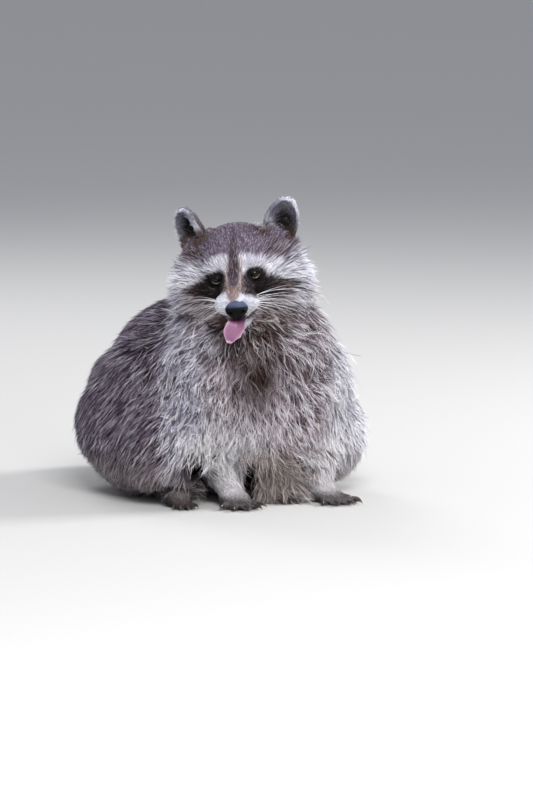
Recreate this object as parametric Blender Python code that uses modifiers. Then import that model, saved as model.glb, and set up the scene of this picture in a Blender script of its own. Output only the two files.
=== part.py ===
"""A raccoon sitting on its haunches, life size, as a still museum model.

The animal faces -Y, with its left side at +X, and turns its head to its right. Each region of the body is
fused from overlapping forms, one for each mass, and is then parted into named pieces by thin cuts. All sizes
are in metres and reach out to the tips of the coat.
"""

import math

import bmesh
import bpy
from mathutils import Matrix, Vector

GAP = 0.0003  # air left between pieces that meet
SHARP_ANGLE = 50  # degrees past which an edge shows
SIDES = {"left": 1, "right": -1}

# Trunk
RUMP_END = 0.272  # how far the rump reaches behind the shoulders
RUMP_LENGTH = 0.300
RUMP_HALF_WIDTH = 0.124
BACK_HEIGHT = 0.224
CHEST_HALF_WIDTH = 0.092
RUMP_CUT = 0.092  # where the rump is parted from the chest
NECK_ROOT, NECK_ROOT_AXIS = Vector((-0.008, 0.020, 0.197)), Vector((-0.10, -0.36, 0.93)).normalized()

# Forelegs stand nearly upright, with the paws ahead of the shoulders.
# Each pair is the paw's place on the floor.
SHOULDER_OUT = 0.061
FOREPAW = {"left": (0.060, -0.058), "right": (-0.047, -0.040)}
FOREPAW_TURN = {"left": 8, "right": -10}
WRIST_HEIGHT = 0.046

# Hind legs are folded: the heel and the toes' roots of each foot lie on the floor.
HAUNCH_OUT = 0.104
HEEL = {"left": (0.036, 0.038), "right": (-0.088, 0.052)}
TOE_ROOTS = {"left": (0.022, -0.026), "right": (-0.102, -0.012)}
ANKLE_HEIGHT = 0.020

# Toes and claws: the angle in degrees and the reach of each of the five, from the right one to the left one
FORE_TOES = ((-40, 0.031), (-19, 0.039), (0, 0.042), (19, 0.039), (40, 0.031))
HIND_TOES = ((-27, 0.021), (-13, 0.026), (0, 0.028), (13, 0.026), (27, 0.021))
TOE_RADIUS = 0.0056
CLAW_LENGTH = 0.0105
CLAW_RADIUS = 0.0021

# Head: its own frame starts between the eyes, with -Y forward and +X to the animal's left.
BETWEEN_EYES = Vector((-0.0535, -0.0565, 0.2615))
HEAD_TURN, HEAD_NOD, HEAD_TILT = -33.5, 3.5, -9.0
EYE_OUT, EYE_BACK, EYE_RADIUS = 0.0220, 0.0036, 0.0084
NOSE_REACH, NOSE_DROP = 0.0600, 0.0272
CROWN_HEIGHT = 0.056
RUFF_HALF_WIDTH = 0.084
EAR_HEIGHT, EAR_HALF_WIDTH, EAR_WALL = 0.050, 0.0190, 0.0030
EAR_ROOT = {"left": (0.0475, 0.050, 0.027), "right": (0.0420, 0.051, 0.0290)}
EAR_LEAN = {"left": 25, "right": 12}  # outwards, in degrees
EAR_TWIST = {"left": 6, "right": 46}  # how far the cup turns out, in degrees
TONGUE_HALF_WIDTH = 0.0066

# Tail: it lies on the floor, on an ellipse round the left side of the rump.
TAIL_RADIUS = 0.034
TAIL_CENTRE = Vector((0, 0.142, 0))
TAIL_ELLIPSE = (0.176, 0.152)
TAIL_TURNS = (4, 96)  # degrees round the ellipse, from straight behind

COAT_GREY = (0.20, 0.18, 0.20, 1)
COAT_PALE = (0.52, 0.50, 0.53, 1)
COAT_DARK = (0.05, 0.04, 0.04, 1)
BARE_BLACK = (0.02, 0.02, 0.02, 1)
EYE_BROWN = (0.03, 0.02, 0.015, 1)
TONGUE_PINK = (0.55, 0.20, 0.28, 1)


# ---------------------------------------------------------------- forms


def mesh_of(form):
    """Ends a bmesh as a mesh."""
    mesh = bpy.data.meshes.new("form")
    form.to_mesh(mesh)
    form.free()
    return mesh


def ball(centre, radii, turn=(0, 0, 0), segments=32):
    """An ellipsoid. turn is its rotation in degrees about X, Y and Z."""
    angles = [math.radians(angle) for angle in turn]
    about_x, about_y, about_z = (Matrix.Rotation(angle, 4, axis) for angle, axis in zip(angles, "XYZ"))
    place = Matrix.Translation(centre) @ about_z @ about_y @ about_x @ Matrix.Diagonal((*radii, 1))
    form = bmesh.new()
    bmesh.ops.create_uvsphere(form, u_segments=segments, v_segments=segments // 2, radius=1, matrix=place)
    return mesh_of(form)


def limb(path, radii, resolution=4):
    """A tapering round bar along a smooth path, with round ends."""
    curve = bpy.data.curves.new("limb", "CURVE")
    curve.dimensions = "3D"
    curve.bevel_depth = 1
    curve.bevel_resolution = resolution
    curve.resolution_u = 8
    curve.use_fill_caps = True
    spline = curve.splines.new("BEZIER")
    spline.bezier_points.add(len(path) - 1)
    for point, place, radius in zip(spline.bezier_points, path, radii):
        point.co = place
        point.radius = radius
        point.handle_left_type = "AUTO"
        point.handle_right_type = "AUTO"
    bar = add_object("limb", curve)
    graph = bpy.context.evaluated_depsgraph_get()
    tube = bpy.data.meshes.new_from_object(bar.evaluated_get(graph), depsgraph=graph)
    bpy.data.objects.remove(bar)
    form = bmesh.new()
    form.from_mesh(tube)
    bmesh.ops.remove_doubles(form, verts=form.verts, dist=1e-6)
    rings = 2 * resolution + 2
    for place, radius in ((path[0], radii[0]), (path[-1], radii[-1])):
        end = Matrix.Translation(place)
        bmesh.ops.create_uvsphere(form, u_segments=2 * rings, v_segments=rings, radius=radius, matrix=end)
    return mesh_of(form)


def cone(root, tip, radius):
    """A pointed claw."""
    axis = Vector(tip) - Vector(root)
    place = Matrix.Translation(Vector(root) + axis / 2) @ axis.to_track_quat("Z", "Y").to_matrix().to_4x4()
    sizes = {"radius1": radius, "radius2": radius * 0.2, "depth": axis.length}
    form = bmesh.new()
    bmesh.ops.create_cone(form, segments=6, cap_ends=True, matrix=place, **sizes)
    return mesh_of(form)


def half_space(origin, direction, size=0.9):
    """A box that fills one side of a plane, towards direction."""
    turn = Vector(direction).to_track_quat("Z", "Y").to_matrix().to_4x4()
    form = bmesh.new()
    place = Matrix.Translation(origin) @ turn @ Matrix.Translation((0, 0, size / 2))
    bmesh.ops.create_cube(form, size=size, matrix=place)
    return mesh_of(form)


def in_frame(forms, frame):
    """Moves forms from their own frame to the body's."""
    for mesh in forms:
        mesh.transform(frame)
    return forms


def material(name, colour, roughness):
    if name in bpy.data.materials:
        return bpy.data.materials[name]
    made = bpy.data.materials.new(name)
    made.use_nodes = True
    shader = made.node_tree.nodes["Principled BSDF"]
    shader.inputs["Base Color"].default_value = colour
    shader.inputs["Roughness"].default_value = roughness
    return made


# ---------------------------------------------------------------- fusing and parting


def add_object(name, data):
    obj = bpy.data.objects.new(name, data)
    MODEL.objects.link(obj)
    return obj


def apply_modifiers(obj):
    graph = bpy.context.evaluated_depsgraph_get()
    obj.data = bpy.data.meshes.new_from_object(obj.evaluated_get(graph), depsgraph=graph)
    obj.modifiers.clear()


def fuse(name, forms, voxel, rounds, triangles):
    """One closed surface round overlapping forms, softened where they meet, of about so many triangles."""
    joined = bmesh.new()
    for mesh in forms:
        joined.from_mesh(mesh)
    obj = add_object(name, mesh_of(joined))
    skin = obj.modifiers.new("fuse", "REMESH")
    skin.mode = "VOXEL"
    skin.voxel_size = voxel
    soften = obj.modifiers.new("soften", "SMOOTH")
    soften.factor = 0.5
    soften.iterations = rounds
    apply_modifiers(obj)
    thin = obj.modifiers.new("thin", "DECIMATE")
    thin.ratio = min(1.0, triangles / (2 * len(obj.data.polygons)))
    apply_modifiers(obj)
    return obj


def region(forms, voxel=0.006, triangles=75):
    """A coarse closed mesh round forms, to part a piece with."""
    obj = fuse("region", forms, voxel, 2, triangles)
    mesh = obj.data
    bpy.data.objects.remove(obj)
    return mesh


def grown(mesh, distance=GAP):
    """A copy of a closed mesh, moved outwards all over."""
    form = bmesh.new()
    form.from_mesh(mesh)
    bmesh.ops.recalc_face_normals(form, faces=form.faces)
    form.normal_update()
    for vertex, shift in [(vertex, vertex.normal * distance) for vertex in form.verts]:
        vertex.co += shift
    return mesh_of(form)


def boolean(obj, mesh, operation):
    cutter = add_object("cutter", mesh)
    cut = obj.modifiers.new("cut", "BOOLEAN")
    cut.operation = operation
    cut.object = cutter
    cut.solver = "MANIFOLD"
    apply_modifiers(obj)
    bpy.data.objects.remove(cutter)


def keep(obj, origin, direction):
    """Keeps what lies beyond a plane."""
    boolean(obj, half_space(origin, direction), "INTERSECT")
    return obj


def split(obj, name, origin, direction):
    """Makes a new piece of what lies beyond a plane, with a thin gap to the rest."""
    piece = keep(add_object(name, obj.data.copy()), origin, direction)
    keep(obj, Vector(origin) - Vector(direction) * GAP, -Vector(direction))
    return piece


def part_off(obj, name, mesh):
    """Makes a new piece of what lies inside a closed mesh, with a thin gap to the rest."""
    piece = add_object(name, obj.data.copy())
    boolean(piece, mesh, "INTERSECT")
    boolean(obj, grown(mesh), "DIFFERENCE")
    return piece


def make_room(obj, neighbour):
    """Cuts a neighbour's shape out of obj, with a thin gap round it."""
    boolean(obj, grown(neighbour.data), "DIFFERENCE")
    return obj


def keep_largest(obj):
    """Drops the crumbs that a cut can leave."""
    form = bmesh.new()
    form.from_mesh(obj.data)
    left = set(form.verts)
    bodies = []
    while left:
        body = [left.pop()]
        for vertex in body:
            near = {edge.other_vert(vertex) for edge in vertex.link_edges} & left
            left -= near
            body.extend(near)
        bodies.append(body)
    bodies.sort(key=len)
    bmesh.ops.delete(form, geom=[vertex for body in bodies[:-1] for vertex in body], context="VERTS")
    obj.data = mesh_of(form)


# ---------------------------------------------------------------- body


def trunk_forms():
    """Rump, arched back, flanks, belly and chest."""
    half = RUMP_LENGTH / 2
    forms = [
        ball((0, RUMP_END - half, 0.088), (RUMP_HALF_WIDTH, half, 0.104), (-6, 0, 0)),
        ball((0, 0.112, BACK_HEIGHT - 0.104), (0.112, 0.122, 0.104), (14, 0, 0)),
        ball((-0.004, 0.050, 0.138), (0.098, 0.088, 0.096), (20, 0, 0)),
        ball((0, -0.008, 0.118), (CHEST_HALF_WIDTH, 0.070, 0.096), (8, 0, 0)),
        ball((0, 0.010, 0.068), (0.088, 0.078, 0.062)),
        ball((0.014, -0.026, 0.034), (0.040, 0.036, 0.032)),
    ]
    for side in SIDES.values():
        forms.append(ball((side * 0.087, 0.064, 0.112), (0.054, 0.086, 0.080), (0, side * 10, 0)))
        forms.append(ball((side * 0.096, 0.125, 0.100), (0.038, 0.070, 0.070)))
    right_haunch, left_flank = (-0.085, 0.165, 0.072), (0.100, 0.030, 0.122)
    forms.append(ball(right_haunch, (0.046, 0.062, 0.060)))
    forms.append(ball(left_flank, (0.036, 0.060, 0.052)))
    return forms


def neck_forms():
    """The neck, with the long hair of its cape, which hangs over the chest."""
    return [
        limb([(0, 0.044, 0.150), (-0.010, 0.024, 0.190), (-0.020, 0.008, 0.226)], [0.088, 0.078, 0.060], 7),
        ball((-0.010, -0.020, 0.164), (0.080, 0.058, 0.068), (-14, 0, 0)),
        ball((0.036, 0.008, 0.184), (0.063, 0.054, 0.056), (0, 30, 0)),
        ball((-0.046, 0.014, 0.172), (0.050, 0.056, 0.056), (0, -20, 0)),
    ]


def wrist(name, side):
    return Vector((*FOREPAW[name], 0)) + Vector((side * 0.003, 0.024, WRIST_HEIGHT))


def foreleg_forms(name, side, more=0.0):
    """Shoulder and leg, down past the wrist into the paw, as much thicker as more says."""
    paw = Vector((*FOREPAW[name], 0)) + Vector((0, 0.006, 0.018))
    elbow = Vector((side * (SHOULDER_OUT + 0.012), -0.008, 0.092))
    shoulder = Vector((side * SHOULDER_OUT, 0.000, 0.134))
    radii = [0.046 + more, 0.041 + more, 0.0245 + more, 0.0160 + more]
    return [
        ball(shoulder, (0.050 + more, 0.062 + more, 0.066 + more), (0, side * 18, 0)),
        limb([shoulder, elbow, wrist(name, side), paw], radii),
    ]


def hind_leg_forms(name, side, more=0.0):
    """Thigh and knee, with the lower leg folded back under them to the heel."""
    thigh = (0.052 + more, 0.096 + more, 0.078 + more)
    knee = (0.048 + more, 0.062 + more, 0.062 + more)
    front = Vector((side * (HAUNCH_OUT + 0.002), 0.006, 0.056))
    heel = Vector((*HEEL[name], ANKLE_HEIGHT))
    calf = front.lerp(heel, 0.6) + Vector((0, -0.004, -0.004))
    return [
        ball((side * HAUNCH_OUT, 0.078, 0.080), thigh, (10, 0, side * -6)),
        ball((side * (HAUNCH_OUT + 0.002), 0.024, 0.068), knee, (0, 0, side * 4)),
        limb([front, calf, heel], [0.036 + more, 0.029 + more, 0.0185 + more]),
    ]


def tail_place(share):
    """Middle and direction of the tail where it lies on the floor, from 0 behind the rump to 1 at its tip."""
    angle = math.radians(TAIL_TURNS[0] + (TAIL_TURNS[1] - TAIL_TURNS[0]) * share)
    out, along = TAIL_ELLIPSE
    middle = TAIL_CENTRE + Vector((math.sin(angle) * out, math.cos(angle) * along, TAIL_RADIUS * 0.92))
    return middle, Vector((math.cos(angle) * out, -math.sin(angle) * along, 0)).normalized()


def tail_radius(share):
    """The tail is full for most of its length, with a blunt tip."""
    swell = 0.86 + 0.14 * math.sin(math.pi * min(1.0, share * 1.2))
    blunt_tip = 0.30 * max(0.0, (share - 0.82) / 0.18) ** 2
    return TAIL_RADIUS * (swell - blunt_tip)


def tail_forms(more=0.0, root=True):
    """The tail, with or without the root that joins it to the rump, as much thicker as more says."""
    shares = [step / 10 for step in range(1, 11)]
    path = [(-0.004, 0.232, 0.074), (-0.006, 0.272, 0.054)]
    path += [tail_place(share)[0] for share in shares]
    radii = [0.040, 0.034] + [tail_radius(share) for share in shares]
    if not root:
        path, radii = path[1:], radii[1:]
    return [limb(path, [radius + more for radius in radii])]


# ---------------------------------------------------------------- feet


def foot_frame(place, toward):
    """A foot's frame on the floor, with -Y towards its toes."""
    angle = math.atan2(toward.x, -toward.y)
    return Matrix.Translation(place) @ Matrix.Rotation(angle, 4, "Z")


def forepaw_frame(name):
    turn = math.radians(FOREPAW_TURN[name])
    return foot_frame(Vector((*FOREPAW[name], 0)), Vector((math.sin(turn), -math.cos(turn), 0)))


def hind_foot_frame(name):
    roots, heel = Vector((*TOE_ROOTS[name], 0)), Vector((*HEEL[name], 0))
    return foot_frame(roots, roots - heel)


def ray(angle):
    return Vector((math.sin(math.radians(angle)), -math.cos(math.radians(angle)), 0))


def toe_forms(toes, start):
    """Toes that fan out from the sole and rest on the floor."""
    sizes = [TOE_RADIUS * 1.1, TOE_RADIUS, TOE_RADIUS * 0.86]
    heights = [TOE_RADIUS * 1.35, TOE_RADIUS * 1.25, TOE_RADIUS * 0.75]
    forms = []
    for angle, reach in toes:
        places = [ray(angle) * (start + (reach - start) * share) for share in (0, 0.55, 1)]
        path = [place + Vector((0, 0, height)) for place, height in zip(places, heights)]
        forms.append(limb(path, sizes, 3))
    return forms


def forepaw(name, side):
    """A small hand, cut off at the wrist."""
    palm = ball((0, -0.002, 0.0100), (0.0185, 0.0190, 0.0112))
    forms = in_frame([palm] + toe_forms(FORE_TOES, 0.010), forepaw_frame(name))
    paw = fuse(f"forepaw_{name}", forms + foreleg_forms(name, side), 0.0021, 3, 900)
    axis = (wrist(name, side) - Vector((*FOREPAW[name], 0.018))).normalized()
    keep(paw, wrist(name, side), -axis)
    return keep(paw, (0, 0, 0), (0, 0, 1)), axis


def hind_foot(name):
    """A long flat sole, with the heel on the floor."""
    length = (Vector(TOE_ROOTS[name]) - Vector(HEEL[name])).length
    path = [(0, length, 0.0150), (0, length * 0.45, 0.0140), (0, -0.002, 0.0135)]
    sole = limb(path, [0.0160, 0.0150, 0.0170])
    sole.transform(Matrix.Diagonal((1, 1, 0.80, 1)))
    forms = in_frame([sole] + toe_forms(HIND_TOES, 0.006), hind_foot_frame(name))
    return keep(fuse(f"hind_foot_{name}", forms, 0.0020, 3, 260), (0, 0, 0), (0, 0, 1))


def claws(kind, name, frame, toes, foot):
    """A curved claw ahead of each toe, clear of the floor."""
    for number, (angle, reach) in enumerate(toes, 1):
        root = ray(angle) * (reach + TOE_RADIUS * 0.35) + Vector((0, 0, TOE_RADIUS * 0.95))
        tip = ray(angle) * (reach + TOE_RADIUS * 0.35 + CLAW_LENGTH) + Vector((0, 0, CLAW_RADIUS * 0.75))
        claw = add_object(f"claw_{kind}_{name}_{number}", in_frame([cone(root, tip, CLAW_RADIUS)], frame)[0])
        make_room(claw, foot)


# ---------------------------------------------------------------- head


def head_frame():
    turn = Matrix.Rotation(math.radians(HEAD_TURN), 4, "Z") @ Matrix.Rotation(math.radians(HEAD_NOD), 4, "X")
    return Matrix.Translation(BETWEEN_EYES) @ turn @ Matrix.Rotation(math.radians(HEAD_TILT), 4, "Y")


def jaw_forms(more=0.0):
    path = [(0, 0.016, -0.032), (0, -0.012, -0.0410), (0, -0.0365, -0.0455)]
    return [limb(path, [0.0230 + more, 0.0140 + more, 0.0085 + more])]


def muzzle_forms():
    """Bridge and whisker pads."""
    bridge = [(0, 0.012, -0.006), (0, -0.018, -0.0155), (0, -NOSE_REACH + 0.016, -NOSE_DROP + 0.002)]
    forms = [limb(bridge, [0.0225, 0.0178, 0.0128])]
    for side in SIDES.values():
        forms.append(ball((side * 0.0115, -0.0330, -0.0255), (0.0135, 0.0200, 0.0128), (-8, 0, side * 16)))
    return forms


def skull_forms():
    """Cranium, forehead, brows, cheekbones, cheek ruff and throat."""
    forms = [
        ball((0, 0.052, CROWN_HEIGHT - 0.052), (0.056, 0.054, 0.052)),
        ball((0, 0.026, 0.0130), (0.043, 0.032, 0.031), (-12, 0, 0)),
        ball((0, 0.056, -0.036), (0.064, 0.048, 0.042)),
    ]
    for side in SIDES.values():
        forms += [
            ball((side * 0.0200, 0.0060, 0.0125), (0.0165, 0.0125, 0.0075), (0, side * 18, side * 14)),
            ball((side * 0.0290, 0.0220, -0.0165), (0.0240, 0.0235, 0.0200), (0, side * 10, side * 10)),
            ball((side * (RUFF_HALF_WIDTH - 0.048), 0.050, -0.016), (0.048, 0.038, 0.051)),
            ball((side * 0.0390, 0.054, 0.018), (0.027, 0.030, 0.028)),
        ]
    return forms


def eye(name, side):
    eyeball = ball((side * EYE_OUT, EYE_BACK, 0), [EYE_RADIUS] * 3, segments=12)
    return add_object(f"eye_{name}", in_frame([eyeball], head_frame())[0])


def ear(name, side):
    """A rounded cup, broad at its root: an egg with another scooped out of its front."""
    lean, twist = math.radians(side * EAR_LEAN[name]), math.radians(side * EAR_TWIST[name])
    out, back, up = EAR_ROOT[name]
    place = head_frame() @ Matrix.Translation((side * out, back, up)) @ Matrix.Rotation(lean, 4, "Y")
    place = place @ Matrix.Rotation(twist, 4, "Z")
    middle, height = EAR_HEIGHT * 0.40, EAR_HEIGHT * 0.60
    outer = ball((0, 0, middle), (EAR_HALF_WIDTH, 0.0130, height), segments=12)
    scoop = ball((0, -0.0095, middle), (EAR_HALF_WIDTH - EAR_WALL, 0.0150, height - EAR_WALL), segments=12)
    for mesh in (outer, scoop):
        for vertex in mesh.vertices:
            vertex.co.x *= 1.20 - 0.30 * vertex.co.z / EAR_HEIGHT
    outer, scoop = in_frame([outer, scoop], place)
    cup = add_object(f"ear_{name}", outer)
    boolean(cup, scoop, "DIFFERENCE")
    return cup


def nose():
    """The bare nose pad."""
    forms = [ball((0, -NOSE_REACH + 0.0085, -NOSE_DROP), (0.0100, 0.0085, 0.0092))]
    for side in SIDES.values():
        wing = (side * 0.0058, -NOSE_REACH + 0.0082, -NOSE_DROP + 0.0008)
        forms.append(ball(wing, (0.0062, 0.0070, 0.0068)))
    return fuse("nose", in_frame(forms, head_frame()), 0.0011, 3, 180)


def tongue():
    """It lies on the lower jaw, hangs over the lip and bends to the animal's right."""
    path = [(0, -0.026, -0.0395), (-0.001, -0.043, -0.0400)]
    path += [(-0.004, -0.0515, -0.0460), (-0.012, -0.0525, -0.0630)]
    radii = [0.0022, 0.0022, 0.0021, 0.0017]
    forms = []
    for share in (-1, -0.67, -0.33, 0, 0.33, 0.67, 1):
        strand = [(x + share * TONGUE_HALF_WIDTH, y, z) for x, y, z in path]
        strand[-1] = Vector(strand[-1]).lerp(Vector(strand[-2]), 0.22 * share**2)
        forms.append(limb(strand, radii, 3))
    return fuse("tongue", in_frame(forms, head_frame()), 0.0012, 4, 220)


def neck_top():
    """The plane that parts the head from the neck."""
    frame = head_frame()
    return frame @ Vector((0, -0.030, -0.062)), (frame.to_3x3() @ Vector((0, -0.316, 0.949))).normalized()


def head():
    """The head with its neck, cut off below the throat, and its jaw parted off along the mouth."""
    frame = head_frame()
    forms = in_frame(skull_forms() + muzzle_forms() + jaw_forms(), frame) + neck_forms()
    skull = fuse("head", forms, 0.0025, 12, 1880)
    keep(skull, *neck_top())
    for name, side in SIDES.items():
        keep_largest(make_room(ear(name, side), skull))
    for piece in [nose(), tongue()] + [eye(name, side) for name, side in SIDES.items()]:
        make_room(skull, piece)
    mouth = add_object("mouth", region(in_frame(jaw_forms(0.005), frame), 0.003, 70))
    keep(mouth, frame @ Vector((0, -0.030, -0.0405)), frame.to_3x3() @ Vector((0, 0.10, -0.995)))
    keep(mouth, *neck_top())
    part_off(skull, "jaw", mouth.data)
    bpy.data.objects.remove(mouth)
    return skull


# ---------------------------------------------------------------- the whole animal


def torso_and_legs(feet, wrist_axes):
    """All but the head and feet, parted into its named pieces."""
    forms = trunk_forms() + neck_forms() + tail_forms() + in_frame(skull_forms(), head_frame())
    for name, side in SIDES.items():
        forms += foreleg_forms(name, side) + hind_leg_forms(name, side)
    chest = keep(fuse("chest", forms, 0.0045, 14, 1720), (0, 0, 0), (0, 0, 1))
    for foot in feet:
        make_room(chest, foot)
    tail = part_off(chest, "tail_root", region(tail_forms(0.008, root=False)))
    pieces = [chest, tail]
    for share, part in ((0.66, "tail_tip"), (0.33, "tail_middle")):
        pieces.append(split(tail, part, *tail_place(share)))
    for name, side in SIDES.items():
        foreleg = part_off(chest, f"foreleg_{name}", region(foreleg_forms(name, side, 0.010)))
        keep(foreleg, wrist(name, side) + wrist_axes[name] * GAP, wrist_axes[name])
        aside = Matrix.Translation((side * 0.020, 0, 0))
        thigh = region(in_frame(hind_leg_forms(name, side, 0.010), aside))
        pieces += [foreleg, part_off(chest, f"hind_leg_{name}", thigh)]
    origin, axis = neck_top()
    keep(chest, origin - axis * GAP, -axis)
    pieces.append(split(chest, "neck", NECK_ROOT, NECK_ROOT_AXIS))
    pieces.append(split(chest, "rump", (0, RUMP_CUT, 0), (0, 1, 0)))
    for piece in pieces:
        keep_largest(piece)


def centre_on_origin(objects):
    """Puts the middle of the whole animal's box over the origin."""
    middle = Vector((0, 0, 0))
    for axis in (0, 1):
        places = [vertex.co[axis] for obj in objects for vertex in obj.data.vertices]
        middle[axis] = (min(places) + max(places)) / 2
    for obj in objects:
        obj.data.transform(Matrix.Translation(-middle))


def finish_surfaces(objects):
    """Gives each piece its material, by the start of its name, and smooth shading."""
    finishes = {
        "eye": material("wet_eye", EYE_BROWN, 0.08),
        "nose": material("moist_nose_skin", BARE_BLACK, 0.30),
        "tongue": material("wet_tongue", TONGUE_PINK, 0.30),
        "claw": material("claw_horn", BARE_BLACK, 0.35),
        "ear": material("pale_short_hair", COAT_PALE, 0.85),
        "forepaw": material("pale_short_hair", COAT_PALE, 0.85),
        "hind_foot": material("dark_short_hair", COAT_DARK, 0.85),
        "jaw": material("pale_short_hair", COAT_PALE, 0.85),
    }
    coat = material("grizzled_coat", COAT_GREY, 0.90)
    for obj in objects:
        found = [made for start, made in finishes.items() if obj.name.startswith(start)]
        obj.data.materials.clear()
        obj.data.materials.append(found[0] if found else coat)
        obj.data.shade_smooth()
        obj.data.set_sharp_from_angle(angle=math.radians(SHARP_ANGLE))


for old in list(bpy.data.objects):
    bpy.data.objects.remove(old)
MODEL = bpy.data.collections.new("raccoon")
bpy.context.scene.collection.children.link(MODEL)

head()
feet, wrist_axes = [], {}
for name, side in SIDES.items():
    paw, wrist_axes[name] = forepaw(name, side)
    claws("fore", name, forepaw_frame(name), FORE_TOES, paw)
    foot = hind_foot(name)
    claws("hind", name, hind_foot_frame(name), HIND_TOES, foot)
    feet.append(foot)
torso_and_legs(feet, wrist_axes)
centre_on_origin(list(MODEL.objects))
finish_surfaces(list(MODEL.objects))
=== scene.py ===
"""The looks of a sitting raccoon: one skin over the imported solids, under a coat of mesh hairs in locks.

The skin is made from the solids, sunk by the depth of the coat, and sculpted round the eyes and mouth.
Markings are a function of the place on the body, used by skin and coat alike. The head has its own frame:
it starts between the eyes, with -Y forward and +X to the animal's left. Sizes are in metres, except those of
the coat and of the face's markings, which are in millimetres.
"""

import contextlib
import math

import bmesh
import bpy
import numpy as np
from mathutils import Matrix, Vector
from mathutils.kdtree import KDTree


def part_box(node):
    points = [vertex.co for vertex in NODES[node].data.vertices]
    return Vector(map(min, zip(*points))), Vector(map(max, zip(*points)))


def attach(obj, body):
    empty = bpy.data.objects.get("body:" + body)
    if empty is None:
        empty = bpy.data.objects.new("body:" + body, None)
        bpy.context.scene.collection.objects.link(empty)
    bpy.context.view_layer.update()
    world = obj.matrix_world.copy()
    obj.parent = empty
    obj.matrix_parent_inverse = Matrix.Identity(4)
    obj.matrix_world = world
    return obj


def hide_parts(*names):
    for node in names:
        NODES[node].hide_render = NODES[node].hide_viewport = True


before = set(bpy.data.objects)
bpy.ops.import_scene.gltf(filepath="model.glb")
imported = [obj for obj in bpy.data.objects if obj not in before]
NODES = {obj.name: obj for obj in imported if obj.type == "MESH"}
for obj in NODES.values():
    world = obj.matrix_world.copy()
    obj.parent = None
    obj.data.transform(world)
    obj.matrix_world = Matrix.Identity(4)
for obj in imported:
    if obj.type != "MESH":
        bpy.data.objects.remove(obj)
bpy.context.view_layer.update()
RANDOM = np.random.default_rng(7)
SIDES = {"left": 1, "right": -1}

# Head, as in the solids
HEAD_TURN, HEAD_NOD, HEAD_TILT = -33.5, 3.5, -9.0
EYE_OUT, EYE_BACK, EYE_DROP, EYE_RADIUS = 0.0206, 0.0036, 0.0014, 0.0084
NOSE_TIP = np.array([0, -0.0585, -0.0272])
NECK_PLANE = np.array([0, -0.030, -0.062]), np.array([0, -0.316, 0.949])
EYE_OPENING = 0.0062, 0.0045  # half width and half height
GAZE_OUT, LID_SLANT = 10, 9  # degrees
LID_ARCH = 0.95, 1.05  # how high the upper and the lower lid arch, over the half height
LID_REACH = 0.0165  # how far from the eyeball's middle the lids reach
CORNEA_BULGE = 0.0005
BARE_NOSE = np.array([0, -0.0505, -0.0272]), 0.0112  # middle and radius
NOSTRIL_OUT, NOSTRIL_DOWN = 0.0068, 0.0058  # from the nose pad's middle
MARKING_TILT = math.radians(5)
CHEST_TURN, CHEST_MIDDLE = -30, 0.049  # which way the chest faces, and its middle line's place across that

# Which solids each piece of the coat grows over. The largest are halved along the body.
COAT_PIECES = {
    "coat_face": ("head", "jaw", "nose", "eye_left", "eye_right"),
    "coat_ears": ("ear_left", "ear_right"),
    "coat_neck": ("neck",),
    "coat_chest": ("chest",),
    "coat_rump": ("rump",),
    "coat_foreleg_left": ("foreleg_left",),
    "coat_foreleg_right": ("foreleg_right",),
    "coat_feet": ("forepaw_left", "forepaw_right", "hind_foot_left", "hind_foot_right"),
    "coat_hind_leg_left": ("hind_leg_left",),
    "coat_hind_leg_right": ("hind_leg_right",),
    "coat_tail": ("tail_root", "tail_middle", "tail_tip"),
}
ON_FLOOR = 0.0006  # how far above the floor skin and hair stop
SOLE_HEIGHT = 0.0009  # no hair grows lower
TAIL_RINGS = 6.2
BAKE_PATCH = 0.0030  # how wide each hair's patch is on the unfolded skin
HAIRS_IN_LOCK = 5
# Places along a hair where its ribbon has an edge, by the mean length of the piece's hairs
HAIR_STEPS = [(0.0262, [0, 0.28, 0.56, 0.80, 1.0]), (0.0195, [0, 0.36, 0.72, 1.0]), (0, [0, 0.5, 1.0])]
CREASE_FILL = 0.014  # the coat lies smoothly over creases between solids up to about twice as wide
FLESH = [name for name in NODES if not name.startswith(("eye", "nose", "tongue", "claw"))]
FEET = [name for name in FLESH if "paw" in name or "foot" in name]
TAIL = ["tail_root", "tail_middle", "tail_tip"]
TRUNK = [name for name in FLESH if name not in FEET + TAIL and not name.startswith("ear")]
# Size of the voxels and rounds of smoothing for each part of the skin
VOXELS = {
    "trunk": (0.0040, 16),
    "face": (0.0021, 13),
    "tail": (0.0034, 8),
    "foot": (0.0018, 4),
    "ear": (0.0013, 5),
}

# Depth of the coat, length of its hairs and how far they stand up, in millimetres and degrees
COAT = {
    "neck": (9.0, 32, 27),
    "chest": (8.5, 32, 25),
    "rump": (4.4, 16.5, 19),
    "foreleg": (6.5, 27, 23),
    "forepaw": (1.7, 8.0, 16),
    "hind_leg": (5.0, 18.5, 20),
    "hind_foot": (1.7, 8.0, 16),
    "tail": (9.0, 26, 27),
    "ear": (1.2, 5.0, 24),
}
SHAGGY = ["chest", "neck", "foreleg"]


# ---- small helpers


def linear(code):
    """A linear colour from an sRGB hex value."""
    parts = np.array([int(code[i : i + 2], 16) / 255 for i in (0, 2, 4)])
    return np.where(parts <= 0.04045, parts / 12.92, ((parts + 0.055) / 1.055) ** 2.4)


def smooth(low, high, value):
    """0 up to low, 1 from high, and a smooth step between. low may be the larger."""
    share = np.clip((value - low) / (high - low), 0, 1)
    return share * share * (3 - 2 * share)


def bell(*offsets):
    """1 in the middle and near 0 outside. Each offset is a distance from the middle over the bell's width."""
    return np.exp(-sum(offset**2 for offset in offsets))


def unit(vectors):
    return vectors / np.maximum(np.linalg.norm(vectors, axis=-1, keepdims=True), 1e-9)


def mix(first, second, share):
    return first + (second - first) * np.asarray(share)[..., None]


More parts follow.
